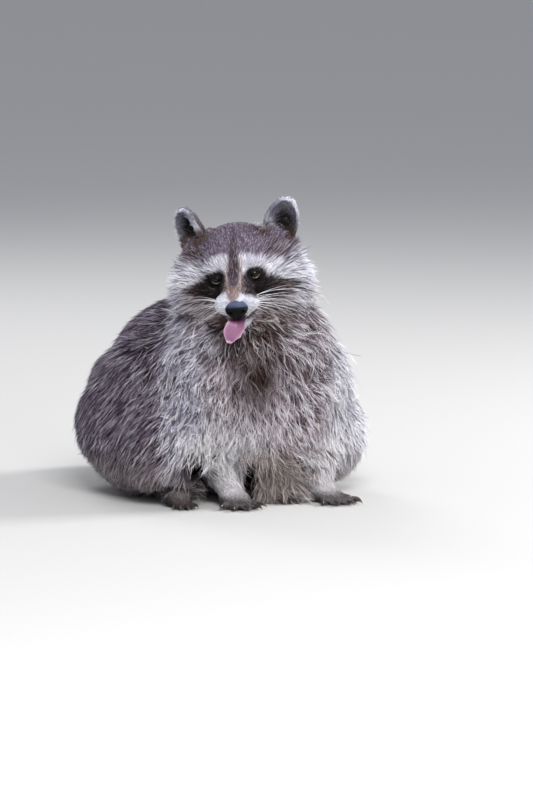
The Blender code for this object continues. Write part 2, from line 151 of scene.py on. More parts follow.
def plain_colour(code, count):
    """One colour, as often as there are points."""
    return np.tile(linear(code), (count, 1))


def middle(node):
    low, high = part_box(node)
    return (low + high) / 2


def head_matrix():
    spin = Matrix.Rotation(math.radians(HEAD_TURN), 4, "Z") @ Matrix.Rotation(math.radians(HEAD_NOD), 4, "X")
    spin = spin @ Matrix.Rotation(math.radians(HEAD_TILT), 4, "Y")
    between = (middle("eye_left") + middle("eye_right")) / 2
    return Matrix.Translation(between) @ spin @ Matrix.Translation((0, -EYE_BACK, 0))


HEAD = head_matrix()
HEAD_SPIN = np.array(HEAD.to_3x3())
HEAD_PLACE = np.array(HEAD.translation)


def to_head(points):
    return (points - HEAD_PLACE) @ HEAD_SPIN


def from_head(points):
    return points @ HEAD_SPIN.T + HEAD_PLACE


def patchiness(points, size, seed):
    """Smooth noise from -1 to 1 with patches of this size."""
    cells = 24
    table = np.random.default_rng(seed).uniform(-1, 1, (cells, cells, cells))
    scaled = points / size
    base = np.floor(scaled).astype(int)
    share = scaled - base
    share = share * share * (3 - 2 * share)
    total = np.zeros(len(points))
    for corner in np.ndindex(2, 2, 2):
        x, y, z = ((base + corner) % cells).T
        weight = np.prod(np.where(corner, share, 1 - share), axis=1)
        total += table[x, y, z] * weight
    return total


def new_mesh(name, points, faces):
    """A mesh from arrays. faces is a list of arrays, one for each number of corners."""
    mesh = bpy.data.meshes.new(name)
    mesh.vertices.add(len(points))
    mesh.vertices.foreach_set("co", np.asarray(points, np.float32).ravel())
    corners = np.concatenate([group.ravel() for group in faces]).astype(np.int32)
    sizes = np.concatenate([np.full(len(group), group.shape[1]) for group in faces])
    mesh.loops.add(len(corners))
    mesh.loops.foreach_set("vertex_index", corners)
    mesh.polygons.add(len(sizes))
    mesh.polygons.foreach_set("loop_start", np.concatenate([[0], np.cumsum(sizes)[:-1]]).astype(np.int32))
    mesh.update(calc_edges=True)
    mesh.validate()
    return mesh


def placed(name, data):
    """A new object in the scene, at the origin."""
    made = bpy.data.objects.new(name, data)
    bpy.context.scene.collection.objects.link(made)
    return made


@contextlib.contextmanager
def edited(mesh):
    """Opens a mesh for editing and writes the edit back."""
    form = bmesh.new()
    form.from_mesh(mesh)
    yield form
    form.to_mesh(mesh)
    form.free()


def add_piece(name, mesh, surface=None, replaced=()):
    """A finished piece, riding on the body. Without a surface it keeps the material that it has."""
    piece = placed(name, mesh)
    if surface:
        mesh.materials.clear()
        mesh.materials.append(surface)
    mesh.shade_smooth()
    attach(piece, "root")
    if replaced:
        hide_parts(*replaced)
    return piece


def evaluated(obj):
    """A plain mesh of what an object's modifiers make. The object is then removed."""
    graph = bpy.context.evaluated_depsgraph_get()
    mesh = bpy.data.meshes.new_from_object(obj.evaluated_get(graph), depsgraph=graph)
    bpy.data.objects.remove(obj)
    return mesh


def paint(mesh, name, colours):
    """A colour at each vertex."""
    layer = mesh.color_attributes.new(name, "FLOAT_COLOR", "POINT")
    filled = np.ones((len(mesh.vertices), 4), np.float32)
    filled[:, :3] = colours
    layer.data.foreach_set("color", filled.ravel())


def fetched(items, field, width=3, kind=np.int32):
    """One field of every item, as rows of this width."""
    values = np.empty(len(items) * width, kind)
    items.foreach_get(field, values)
    return values.reshape(-1, width)


def points_of(mesh):
    return fetched(mesh.vertices, "co", kind=np.float32).astype(float)


def move_points(mesh, points):
    mesh.vertices.foreach_set("co", points.astype(np.float32).ravel())


def normals_of(mesh):
    return fetched(mesh.vertex_normals, "vector", kind=np.float32).astype(float)


# ---- materials


def node(tree, kind, links=(), **settings):
    """Adds a node. A setting named for a socket fills it, and links is (socket, source) pairs."""
    added = tree.nodes.new(kind)
    for key, value in settings.items():
        if hasattr(added, key):
            setattr(added, key, value)
        else:
            added.inputs[key.replace("_", " ")].default_value = value
    for socket, source in links:
        tree.links.new(source, added.inputs[socket])
    return added


def new_material(name, **sockets):
    made = bpy.data.materials.new(name)
    made.use_nodes = True
    shader = made.node_tree.nodes["Principled BSDF"]
    for key, value in sockets.items():
        socket = shader.inputs[key.replace("_", " ")]
        socket.default_value = (*value, 1) if hasattr(value, "__len__") else value
    return made, made.node_tree, shader


def on_place(tree, texture, **settings):
    """A texture that keeps its place on the object."""
    place = node(tree, "ShaderNodeTexCoord").outputs["Object"]
    return node(tree, f"ShaderNodeTex{texture}", [("Vector", place)], **settings).outputs


def noise_on_place(tree, scale, detail=3.0):
    return on_place(tree, "Noise", Scale=scale, Detail=detail)["Fac"]


def bump(tree, shader, height, distance, strength=1.0):
    raised = node(tree, "ShaderNodeBump", [("Height", height)], Strength=strength, Distance=distance)
    tree.links.new(raised.outputs["Normal"], shader.inputs["Normal"])


def tinted(tree, shader, colour, factor, low, high):
    """Multiplies a colour by a grey that runs from low to high with a factor."""
    grey = node(tree, "ShaderNodeMapRange", [("Value", factor)], To_Min=low, To_Max=high).outputs["Result"]
    ends = [("A", colour), ("B", grey)]
    mixer = node(tree, "ShaderNodeMix", ends, data_type="RGBA", blend_type="MULTIPLY", Factor=1)
    tree.links.new(mixer.outputs["Result"], shader.inputs["Base Color"])


def flat_colour(tree, code):
    colour = node(tree, "ShaderNodeRGB").outputs[0]
    colour.default_value = (*linear(code), 1)
    return colour


def painted_colour(tree, layer):
    return node(tree, "ShaderNodeVertexColor", layer_name=layer).outputs["Color"]


def guard_hair():
    """Guard hair and underfur, keratin: a soft satin, each hair a little lighter or darker than the next."""
    made, tree, shader = new_material("guard_hair", Roughness=0.70, Specular_IOR_Level=0.07)
    tinted(tree, shader, painted_colour(tree, "coat"), noise_on_place(tree, 900, 1.0), 0.86, 1.14)
    return made


def short_hair_skin():
    """Skin under short flat hair: matt, with a bump of about a hair's breadth."""
    made, tree, shader = new_material("short_hair_skin", Roughness=0.85, Specular_IOR_Level=0.10)
    colour = painted_colour(tree, "coat")
    fine = noise_on_place(tree, 1100, 2.0)
    tinted(tree, shader, colour, fine, 0.75, 1.25)
    bump(tree, shader, fine, 0.0006)
    return made


def nose_leather():
    """Bare nose skin: black and moist, so it shines, and pebbled in bosses of about 0.7 mm. Its painted
    colour also carries a painted sheen on top.
    """
    wet = {"Roughness": 0.30, "Specular_IOR_Level": 0.08, "Coat_Weight": 0.10, "Coat_Roughness": 0.10}
    made, tree, shader = new_material("moist_nose_leather", **wet)
    bosses = on_place(tree, "Voronoi", Scale=1400.0)["Distance"]
    tinted(tree, shader, painted_colour(tree, "leather"), noise_on_place(tree, 300), 0.7, 1.3)
    bump(tree, shader, bosses, 0.00012, 0.6)
    return made


def wet_tongue():
    """Tongue: wet pink flesh, paler at its edge, with fine papillae."""
    flesh = {"Roughness": 0.42, "Subsurface_Weight": 0.15, "Subsurface_Scale": 0.004}
    made, tree, shader = new_material("wet_tongue", Coat_Weight=0.20, Coat_Roughness=0.25, **flesh)
    tinted(tree, shader, painted_colour(tree, "flesh"), noise_on_place(tree, 500), 0.88, 1.12)
    bump(tree, shader, noise_on_place(tree, 2200, 1.0), 0.0002)
    return made


def wet_eye():
    """Eye: a dark brown iris and black pupil under a clear wet cornea."""
    cornea = {"Coat_Weight": 0.90, "Coat_Roughness": 0.03, "Coat_IOR": 1.376}
    made, tree, shader = new_material("wet_eye", Roughness=0.10, IOR=1.12, Specular_IOR_Level=0.04, **cornea)
    tinted(tree, shader, painted_colour(tree, "iris"), noise_on_place(tree, 900), 0.75, 1.25)
    return made


def lid_skin():
    """Lid edge: bare black skin, kept wet by the eye."""
    made, tree, shader = new_material("lid_skin", Roughness=0.55, Specular_IOR_Level=0.12)
    tinted(tree, shader, flat_colour(tree, "17130f"), noise_on_place(tree, 700), 0.7, 1.3)
    return made


def tear_film_painted_glint():
    """Tears along the lower lid: a thin wet line, its pale grey a painted highlight of the light that it
    catches.
    """
    made, tree, shader = new_material("tear_film_painted_glint", Roughness=0.12, Coat_Weight=0.6)
    tinted(tree, shader, flat_colour(tree, "8d8280"), noise_on_place(tree, 600), 0.8, 1.2)
    return made


def claw_horn():
    """Claw: dark brown horn, polished by the ground, streaked along its length."""
    made, tree, shader = new_material("claw_horn", Roughness=0.32, Coat_Weight=0.2)
    tinted(tree, shader, flat_colour(tree, "3a3029"), noise_on_place(tree, 450), 0.55, 1.45)
    return made


def whisker_hair():
    """Whisker: a stiff, translucent white bristle."""
    made, tree, shader = new_material("whisker_hair", Roughness=0.35)
    tinted(tree, shader, flat_colour(tree, "e9e8ec"), noise_on_place(tree, 90), 0.8, 1.1)
    return made


# ---- skin


def voxel_skin(names, voxel, rounds, swell=0.0009):
    """One closed surface round these solids, with the thin cuts between them filled."""
    form = bmesh.new()
    for name in names:
        solid = bmesh.new()
        solid.from_mesh(NODES[name].data)
        bmesh.ops.remove_doubles(solid, verts=solid.verts, dist=1e-5)
        solid.normal_update()
        for vertex, normal in [(vertex, vertex.normal.copy()) for vertex in solid.verts]:
            vertex.co += normal * swell
        mesh = bpy.data.meshes.new("solid")
        solid.to_mesh(mesh)
        form.from_mesh(mesh)
    mesh = bpy.data.meshes.new("skin")
    form.to_mesh(mesh)
    obj = placed("skin_form", mesh)
    skin = obj.modifiers.new("fuse", "REMESH")
    skin.mode = "VOXEL"
    skin.voxel_size = voxel
    soften = obj.modifiers.new("soften", "SMOOTH")
    soften.factor = 0.5
    soften.iterations = rounds
    return evaluated(obj)


def face_middles(form):
    return np.array([face.calc_center_median() for face in form.faces])


def trimmed(mesh, keep):
    """Drops the faces whose middle keep says no to."""
    with edited(mesh) as form:
        kept = keep(face_middles(form))
        form.faces.ensure_lookup_table()
        dropped = [form.faces[i] for i in np.nonzero(~kept)[0]]
        bmesh.ops.delete(form, geom=dropped, context="FACES")
    return mesh


def above_neck(points, margin):
    return (to_head(points) - NECK_PLANE[0]) @ NECK_PLANE[1] > margin


def finer_face(mesh):
    """Divides the faces round the eyes, muzzle and mouth once more."""
    with edited(mesh) as form:
        form.faces.ensure_lookup_table()
        x, y, z = to_head(face_middles(form)).T
        near = (y < 0.012) & (np.abs(x) < 0.036) & (z > -0.056) & (z < 0.014)
        edges = {edge for i in np.nonzero(near)[0] for edge in form.faces[i].edges}
        bmesh.ops.subdivide_edges(form, edges=list(edges), cuts=1, use_grid_fill=True, smooth=0.0)


def joined(meshes):
    whole = bpy.data.meshes.new("skin")
    with edited(whole) as form:
        for mesh in meshes:
            form.from_mesh(mesh)
    return whole


def nearest_solid(points):
    """The name of the solid nearest to each point."""
    owners, corners = [], []
    for name in FLESH + ["nose", "eye_left", "eye_right"]:
        found = points_of(NODES[name].data)
        corners.append(found)
        owners += [name] * len(found)
    corners = np.concatenate(corners)
    tree = KDTree(len(corners))
    for index, corner in enumerate(corners):
        tree.insert(corner, index)
    tree.balance()
    return np.array([owners[tree.find(point)[1]] for point in points])


class Field:
    """Averages values over neighbouring vertices of a mesh."""

    def __init__(self, mesh):
        ends = fetched(mesh.edges, "vertices", 2)
        self.first, self.second = ends.T
        self.size = len(mesh.vertices)
        self.degree = np.bincount(ends.ravel(), minlength=self.size).clip(1)

    def soften(self, values, rounds):
        values = np.array(values, float)
        for _ in range(rounds):
            columns = values.reshape(self.size, -1).T
            total = [
                np.bincount(self.first, column[self.second], self.size)
                + np.bincount(self.second, column[self.first], self.size)
                for column in columns
            ]
            mean = (np.array(total) / self.degree).T.reshape(values.shape)
            values = 0.4 * values + 0.6 * mean
        return values


def kinds_of(solids):
    """Which row of COAT each solid takes, or head."""
    return np.array([next((kind for kind in COAT if solid.startswith(kind)), "head") for solid in solids])


def head_coat(places):
    """Depth, length and lift of the coat on the head. It gets fuller away from the nose."""
    x, y, z = (places * 1000).T
    reach = np.linalg.norm(places - NOSE_TIP, axis=1) * 1000
    fullness = smooth(62, 132, reach + 0.30 * np.clip(np.abs(x) - 30, 0, None))
    crown = smooth(14, 36, z)
    by_eye = bell((np.abs(x) - EYE_OUT * 1000) / 11, (z + 1) / 8) * smooth(20, 8, y)
    depth = 1.1 + 9.4 * fullness * (1 - 0.50 * crown)
    length = 3.2 + 5.5 * smooth(22, 60, reach) * (1 - 0.82 * crown) + 15 * fullness * (1 - 0.93 * crown)
    beneath = smooth(-42, -58, z) * smooth(-20, 5, y)
    length = length + 7 * beneath
    return depth, length + (1.9 - length) * 0.85 * by_eye, 22 + 12 * fullness - 6 * crown - 8 * by_eye


def coat_of(points, solids):
    """Depth, length and lift of the coat at each point."""
    kinds = kinds_of(solids)
    values = np.array([COAT.get(kind, (0, 0, 0)) for kind in kinds], float)
    on_head = kinds == "head"
    values[on_head] = np.array(head_coat(to_head(points[on_head]))).T
    wrist = smooth(0.062, 0.022, points[:, 2]) * (kinds == "foreleg")
    cuff = smooth(0.014, 0.046, points[:, 2]) * (kinds == "forepaw")
    values = mix(values, np.array([3.2, 17, 18]), cuff)
    values[:, 1] += 12 * smooth(0.080, 0.040, points[:, 2]) * (kinds == "chest")
    values[on_head, 1] += 6 * smooth(0.026, 0.004, (to_head(points[on_head]) - NECK_PLANE[0]) @ NECK_PLANE[1])
    ankle = smooth(0.040, 0.012, points[:, 2]) * (kinds == "hind_leg")
    values = mix(values, np.array([3.2, 15, 17]), wrist)
    return mix(values, np.array([3.5, 14, 18]), ankle)


def combed(points, solids):
    """The way that the hair lies, before it is turned along the skin."""
    x, y = points.T[:2]
    throat = from_head(np.array([0, -0.010, -0.060]))
    lies = np.zeros_like(points)
    kinds = kinds_of(solids)
    side = np.sign(x)

    def set_lie(chosen, *parts):
        parts = [np.broadcast_to(part, len(points))[chosen] for part in parts]
        lies[chosen] = unit(np.stack(parts, axis=1))

    front = smooth(0.0, -0.06, y)
    set_lie(kinds == "chest", (x - throat[0]) * 7, 0.75 * (1 - front), -0.9)
    set_lie(kinds == "neck", (x - throat[0]) * 8, 0.9 * (1 - front), -0.75)
    set_lie(kinds == "rump", x * 4, 0.75, -0.55)
    set_lie(kinds == "foreleg", 0.22 * side, 0.15, -0.95)
    set_lie(kinds == "hind_leg", 0.45 * side, 0.42, -0.80)
    set_lie(kinds == "forepaw", 0.0, -0.8, -0.5)
    set_lie(kinds == "hind_foot", 0.0, -0.9, -0.3)
    for name in SIDES:
        on_ear = solids == f"ear_{name}"
        lies[on_ear] = unit(points[on_ear] - np.array(middle("head")))
    on_tail = kinds == "tail"
    turn_centre = np.array([*tail_centre(), 0])
    spoke = unit((points[on_tail] - turn_centre) * [1, 1, 0])
    lies[on_tail] = np.stack([spoke[:, 1], -spoke[:, 0], -0.25 * np.ones(len(spoke))], axis=1)
    on_head = kinds == "head"
    places = to_head(points[on_head])
    away = unit(places - NOSE_TIP)
    away[:, 2] -= 0.35 * smooth(0.035, 0.080, np.abs(places[:, 0]))
    lies[on_head] = away @ HEAD_SPIN.T
    return lies


def tail_centre():
    """The middle of the curve that the tail lies on: beside its root and level with its tip's back end."""
    root_low, root_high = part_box("tail_root")
    tip_low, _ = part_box("tail_tip")
    return (root_low.x + 0.034, (tip_low.y + root_high.y) / 2)


def open_lids(places):
    """Sinks the skin behind each eyeball inside the almond of its lids, and stands it proud outside."""
    for side in SIDES.values():
        centre, _ = eye_frame(side)
        across, up, ahead = seen_from_eye(places, side).T
        height = EYE_OPENING[1] * np.where(up > 0, *LID_ARCH)
        almond = np.abs(across / EYE_OPENING[0]) ** 1.8 + np.abs(up / height) ** 1.8
        distance = np.linalg.norm(places - centre, axis=1)
        near = (ahead > 0) & (distance < LID_REACH)
        lid = EYE_RADIUS + 0.0010 * smooth(6.0, 1.0, almond)
        wanted = np.where(almond < 1, EYE_RADIUS - 0.0022, np.maximum(distance, lid))
        scale = np.where(near, wanted / distance, 1)
        places = centre + (places - centre) * scale[:, None]
    return places


def eye_frame(side):
    """The eye's middle, and its own axes: outwards, up and ahead."""
    spin = Matrix.Rotation(math.radians(side * GAZE_OUT), 3, "Z")
    spin = spin @ Matrix.Rotation(math.radians(-side * LID_SLANT), 3, "Y")
    axes = np.array(spin) @ np.array([[side, 0, 0], [0, 0, -1], [0, 1, 0]])
    return np.array([side * EYE_OUT, EYE_BACK, -EYE_DROP]), axes


def seen_from_eye(places, side):
    centre, axes = eye_frame(side)
    return (places - centre) @ axes


def over_eyeball(flat, side, height):
    """Points this far out from an eyeball's round, from how far across and up they lie on the eye's axes."""
    centre, axes = eye_frame(side)
    ahead = np.sqrt((EYE_RADIUS + height) ** 2 - np.sum(flat**2, axis=1))
    return from_head(centre + np.column_stack([flat, ahead]) @ axes.T)


def mouth_groove(places, normals):
    """The line of the closed part of the mouth, sunk between lip and jaw."""
    x, y, z = places.T
    line = -0.0428 + (y + 0.030) * 0.10 + 0.0035 * smooth(0.006, 0.020, np.abs(x))
    along = smooth(-0.004, -0.016, y) * smooth(0.030, 0.022, np.abs(x))
    depth = 0.0030 * bell((z - line) / 0.0013) * along
    return places - normals * depth[:, None]


def make_skin():
    """The skin's mesh, with the coat's depth, length and lift, and its lie, at each vertex."""
    trunk = voxel_skin(TRUNK, *VOXELS["trunk"], CREASE_FILL)
    trimmed(trunk, lambda at: ~above_neck(at, 0.010) & ~in_feet(at))
    face = voxel_skin(["head", "jaw", "neck", "nose", "eye_left", "eye_right"], *VOXELS["face"])
    finer_face(trimmed(face, lambda at: above_neck(at, -0.008)))
    parts = [trunk, face, voxel_skin(TAIL, *VOXELS["tail"])]
    parts += [voxel_skin([name], *VOXELS["foot"], 0.0) for name in FEET]
    parts += [voxel_skin([f"ear_{name}"], *VOXELS["ear"], 0.0) for name in SIDES]
    skin = joined(parts)
    swell = np.zeros(len(skin.vertices))
    swell[: len(trunk.vertices)] = CREASE_FILL
    points, normals = points_of(skin), normals_of(skin)
    solids = nearest_solid(points)
    field = Field(skin)
    values = field.soften(coat_of(points, solids), 16)
    lies = field.soften(combed(points, solids), 10)
    ears = np.char.startswith(solids, "ear")
    under_nose = field.soften((solids == "nose").astype(float), 2)
    sunk = values[:, 0] / 1000 * np.where(ears, 0.45, 1) + 0.0042 * under_nose + swell
    points -= normals * sunk[:, None]
    on_head = above_neck(points, 0.0)
    places = to_head(points[on_head])
    places = mouth_groove(places, normals[on_head] @ HEAD_SPIN)
    points[on_head] = from_head(open_lids(places))
    points[:, 2] = np.maximum(points[:, 2], ON_FLOOR)
    move_points(skin, points)
    skin.update()
    normals = normals_of(skin)
    lies = unit(lies - normals * np.sum(lies * normals, axis=1, keepdims=True))
    return skin, points, normals, solids, values, lies


def in_feet(points):
    """Inside the box of a foot, a little below its top, where the foot's own finer skin takes over."""
    inside = np.zeros(len(points), bool)
    for name in FEET:
        low, high = (np.array(corner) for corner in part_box(name))
        inside |= np.all((points > low - 0.002) & (points < high + [0.002, 0.002, -0.006]), axis=1)
    return inside


# ---- bare parts


def strand_tree():
    """Geometry Nodes that sweep a round section along lines, as thick at each point as its girth says."""
    tree = bpy.data.node_groups.new("swept_strand", "GeometryNodeTree")
    for name, kind in (("Lines", "Geometry"), ("Sides", "Int"), ("Surface", "Material")):
        tree.interface.new_socket(name, in_out="INPUT", socket_type=f"NodeSocket{kind}")
    tree.interface.new_socket("Strands", in_out="OUTPUT", socket_type="NodeSocketGeometry")
    given = node(tree, "NodeGroupInput").outputs
    girth = node(tree, "GeometryNodeInputNamedAttribute", data_type="FLOAT", Name="girth")
    girth = girth.outputs["Attribute"]
    curves = node(tree, "GeometryNodeMeshToCurve", [("Mesh", given["Lines"])]).outputs["Curve"]
    sized = node(tree, "GeometryNodeSetCurveRadius", [("Curve", curves), ("Radius", girth)]).outputs["Curve"]
    section = node(tree, "GeometryNodeCurvePrimitiveCircle", [("Resolution", given["Sides"])], Radius=1.0)
    ends = [("Curve", sized), ("Profile Curve", section.outputs["Curve"])]
    swept = node(tree, "GeometryNodeCurveToMesh", ends)
    swept.inputs["Fill Caps"].default_value = True
    if "Scale" in swept.inputs:
        tree.links.new(girth, swept.inputs["Scale"])
    whole = node(tree, "GeometryNodeRealizeInstances", [("Geometry", swept.outputs["Mesh"])])
    ends = [("Geometry", whole.outputs["Geometry"]), ("Material", given["Surface"])]
    finished = node(tree, "GeometryNodeSetMaterial", ends).outputs["Geometry"]
    node(tree, "NodeGroupOutput", [("Strands", finished)])
    return tree


def swept(name, lines, surface, sides=8, closed=False):
    """A mesh of round strands. Each line is its points and how thick it is at each."""
    mesh = bpy.data.meshes.new(name)
    points = [tuple(point) for line, _ in lines for point in line]
    edges, start = [], 0
    for line, _ in lines:
        edges += [(start + i, start + i + 1) for i in range(len(line) - 1)]
        edges += [(start + len(line) - 1, start)] if closed else []
        start += len(line)
    mesh.from_pydata(points, edges, [])
    girth = mesh.attributes.new("girth", "FLOAT", "POINT")
    girth.data.foreach_set("value", np.concatenate([np.asarray(radii, np.float32) for _, radii in lines]))
    obj = placed(name, mesh)
    modifier = obj.modifiers.new("swept", "NODES")
    modifier.node_group = STRANDS
    sockets = {item.name: item.identifier for item in STRANDS.interface.items_tree}
    modifier[sockets["Sides"]] = sides
    modifier[sockets["Surface"]] = surface
    return evaluated(obj)


def loft(rings):
    """A closed mesh through rings of equally many points."""
    rings = np.array(rings)
    around = rings.shape[1]
    form = bmesh.new()
    corners = [[form.verts.new(point) for point in ring] for ring in rings]
    for near, far in zip(corners, corners[1:]):
        for i, j in zip(range(around), [*range(1, around), 0]):
            form.faces.new((near[i], near[j], far[j], far[i]))
    form.faces.new(corners[0][::-1])
    form.faces.new(corners[-1])
    bmesh.ops.recalc_face_normals(form, faces=form.faces)
    mesh = bpy.data.meshes.new("loft")
    form.to_mesh(mesh)
    return mesh


def curve_through(points, count):
    """A smooth line through points (Catmull-Rom), with its directions."""
    points = np.array(points, float)
    padded = np.concatenate([[2 * points[0] - points[1]], points, [2 * points[-1] - points[-2]]])
    at = np.linspace(0, len(points) - 1, count)
    span = np.minimum(at.astype(int), len(points) - 2)
    t = (at - span)[:, None]
    a, b, c, d = (padded[span + i] for i in range(4))
    line = 0.5 * (2 * b + (c - a) * t + (2 * a - 5 * b + 4 * c - d) * t**2 + (3 * b - a - 3 * c + d) * t**3)
    return line, unit(np.gradient(line, axis=0))


def eyeball(name, side, surface):
    """An eyeball with a bulging cornea, an iris and a pupil."""
    centre, axes = eye_frame(side)
    mesh = bpy.data.meshes.new(f"eyeball_{name}")
    with edited(mesh) as form:
        bmesh.ops.create_uvsphere(form, u_segments=64, v_segments=48, radius=1)
    ball = points_of(mesh)
    angle = np.arccos(np.clip(ball[:, 2], -1, 1))
    bulge = EYE_RADIUS + CORNEA_BULGE * smooth(0.75, 0.0, angle)
    move_points(mesh, from_head(centre + (ball * bulge[:, None]) @ axes.T))
    streaks = 1 + 0.25 * np.sin(np.arctan2(ball[:, 1], ball[:, 0]) * 23) * smooth(0.3, 0.5, angle)
    colours = plain_colour("060505", len(ball))
    iris = smooth(0.36, 0.42, angle) * smooth(0.86, 0.74, angle)
    colours = mix(colours, linear("150f0d"), iris) * (1 + (streaks - 1) * iris)[:, None]
    paint(mesh, "iris", mix(colours, linear("120d0c"), smooth(0.92, 1.02, angle)))
    face_outwards(mesh)
    add_piece(f"eyeball_{name}", mesh, surface, [f"eye_{name}"])


def face_outwards(mesh):
    """Turns every face of a closed mesh to the outside."""
    with edited(mesh) as form:
        bmesh.ops.recalc_face_normals(form, faces=form.faces)


def lid_edges(surface, wet):
    """The bare black edges of the lids, thicker above, and the line of tears along the lower ones."""
    edges, tears = [], []
    turns = np.linspace(0, 2 * math.pi, 56, endpoint=False)
    across, up = (np.sign(wave) * np.abs(wave) ** 1.1 for wave in (np.cos(turns), np.sin(turns)))
    up = up * np.where(turns < math.pi, *LID_ARCH)
    almond = np.stack([across, up], axis=1) * EYE_OPENING
    inner = almond[(turns > math.pi * 1.12) & (turns < math.pi * 1.88)] * 0.84
    tear_girth = 0.00028 * np.sin(np.linspace(0.15, math.pi - 0.15, len(inner)))
    for side in SIDES.values():
        edges.append((over_eyeball(almond, side, 0.0004), 0.0009 + 0.0006 * smooth(-0.2, 0.8, up)))
        tears.append((over_eyeball(inner, side, 0.0007), tear_girth))
    add_piece("lid_edges", swept("lid_edges", edges, surface, 10, closed=True))
    add_piece("tear_lines", swept("tear_lines", tears, wet, 8), None)


def nose_pad(surface):
    """The nose: a rounded wedge, widest below its middle, with comma nostrils low at its sides."""
    mesh = voxel_skin(["nose"], 0.0006, 8, 0.0)
    normals = normals_of(mesh) @ HEAD_SPIN
    centre = np.array([0, NOSE_TIP[1] + 0.007, NOSE_TIP[2]])
    x, y, z = (to_head(points_of(mesh)) - centre).T
    z = z * 1.22 - 0.0030
    x = x * (1.08 - 0.24 * smooth(-0.0010, 0.0085, z) - 0.06 * smooth(-0.0050, -0.0110, z))
    y = np.where(y < 0, -0.0075 * np.tanh(-y / 0.0075) * 1.12, y) + 0.40 * np.clip(z - 0.0005, 0, None)
    ahead = smooth(-0.0005, -0.0040, y)
    out = np.abs(x)
    hole = bell((out - NOSTRIL_OUT) / 0.0015, (z + NOSTRIL_DOWN) / 0.0012)
    rise = z + NOSTRIL_DOWN - 0.8 * (out - NOSTRIL_OUT)
    slit = bell(rise / 0.0008) * smooth(0.0058, 0.0072, out) * smooth(0.0125, 0.0105, out)
    groove = bell(x / 0.0006) * smooth(0.000, -0.004, z)
    places = np.stack([x, y, z], axis=1) + centre
    places[:, 1] += 0.0030 * hole * ahead
    places -= normals * (0.0013 * slit + 0.0007 * groove * ahead)[:, None]
    move_points(mesh, from_head(places))
    # Painted reflection: the nose's top is painted bluish grey, a painted sheen of the sky, fading to black
    # lower down.
    painted_sheen = smooth(-0.0026, 0.0042, z + 0.10 * x) ** 1.4 * (1 - 0.35 * smooth(0.004, 0.008, z))
    tone = mix(plain_colour("030203", len(x)), linear("565e7a"), painted_sheen)
    # The nostrils and their slits are painted near black: painted shade in the recesses, over the painted
    # sheen.
    paint(mesh, "leather", mix(tone, linear("050404"), np.clip(hole + slit, 0, 1)))
    add_piece("nose_pad", mesh, surface, ["nose"])


def tongue(surface):
    """The tongue: it lies on the jaw, hangs over the lip and bends to the animal's right, its edge wavy."""
    route = [(0.001, -0.020, -0.0420), (0.0005, -0.034, -0.0422), (0.0, -0.0455, -0.0430)]
    route += [(-0.0022, -0.0525, -0.0475), (-0.0094, -0.0540, -0.0552), (-0.0148, -0.0515, -0.0660)]
    line, ahead = curve_through(route, 50)
    rings, edge = [], []
    around = 32
    widths = [0, 0.42, 0.56, 0.70, 0.80, 0.92, 1], [8.6, 8.4, 9.2, 10.8, 9.8, 6.4, 4.6]
    turns = np.linspace(0, 2 * math.pi, around, endpoint=False)
    cosine, sine = np.cos(turns), np.sin(turns)
    groove = bell(cosine / 0.14) * (sine > 0)
    for share, (place, forward) in zip(np.linspace(0, 1, 50), zip(line, ahead)):
        across = np.array([1, 0, 0]) - forward * forward[0]
        across /= np.linalg.norm(across)
        up = np.cross(across, forward)
        up *= np.sign(up @ [0, -0.5, 1]) or 1
        tip = math.sqrt(max(0.0, 1 - (max(0.0, share - 0.82) / 0.19) ** 2))
        half = np.interp(share, *widths) / 1000
        half = half * tip * (1 + 0.07 * np.sin(share * 34) * (cosine > 0) * smooth(0.5, 0.6, share))
        lean = 0.0012 * math.sin(share * 16) * cosine * smooth(0.45, 0.6, share)
        height = 0.0015 * tip * sine + (0.0024 * cosine**2 - 0.0008 * groove) * tip + lean
        rings.append(place + across * (half * cosine)[:, None] + up * height[:, None])
        pale = np.clip(np.abs(cosine) ** 7 + (share > 0.95), 0, 1)
        edge.append(np.stack([pale, np.full(around, share)], axis=1))
    mesh = loft(rings)
    pale, along = np.concatenate(edge).T
    tone = mix(plain_colour("8f5f7d", len(pale)), linear("d9b3cd"), pale * 0.85)
    # Darker towards the mouth: partly the tongue's deeper purple there, partly painted shadow under the nose
    # and lip.
    paint(mesh, "flesh", mix(tone, linear("4a2a3c"), smooth(0.68, 0.46, along)))
    move_points(mesh, from_head(points_of(mesh)))
    face_outwards(mesh)
    add_piece("tongue_flesh", mesh, surface, ["tongue"])


def claws(surface):
    """Curved claws in place of the straight ones, on each foot."""
    for foot in FEET:
        kind, name = ("fore", foot[8:]) if foot.startswith("forepaw") else ("hind", foot[10:])
        foot_middle = np.array(middle(foot)) * [1, 1, 0]
        solids = [f"claw_{kind}_{name}_{number}" for number in range(1, 6)]
        lines = []
        for solid in solids:
            corners = points_of(NODES[solid].data)
            far = np.linalg.norm(corners - foot_middle, axis=1)
            tip, root = corners[np.argmax(far)], corners[far < far.min() + 0.003].mean(axis=0)
            shares = np.linspace(-0.35, 1, 9)
            arch = np.stack([0 * shares, 0 * shares, 0.0016 * (1 - (2 * shares.clip(0) - 1) ** 2)], axis=1)
            line = root + (tip - root) * shares[:, None] + arch
            lines.append((line, 0.0019 * (1 - shares.clip(0) ** 1.6) + 0.00025))
        piece = f"claws_{kind}_{name}"
        add_piece(piece, swept(piece, lines, surface), None, solids)


def whisker_roots():
    """The side, row, column and root of each whisker: three rows of five on each side of the muzzle."""
    for side in SIDES.values():
        for row, column in np.ndindex(3, 5):
            out, back, down = 0.0165 + 0.0016 * column, -0.0450 + 0.0055 * column, -0.0215 - 0.0042 * row
            yield side, row, column, np.array([side * out, back, down])


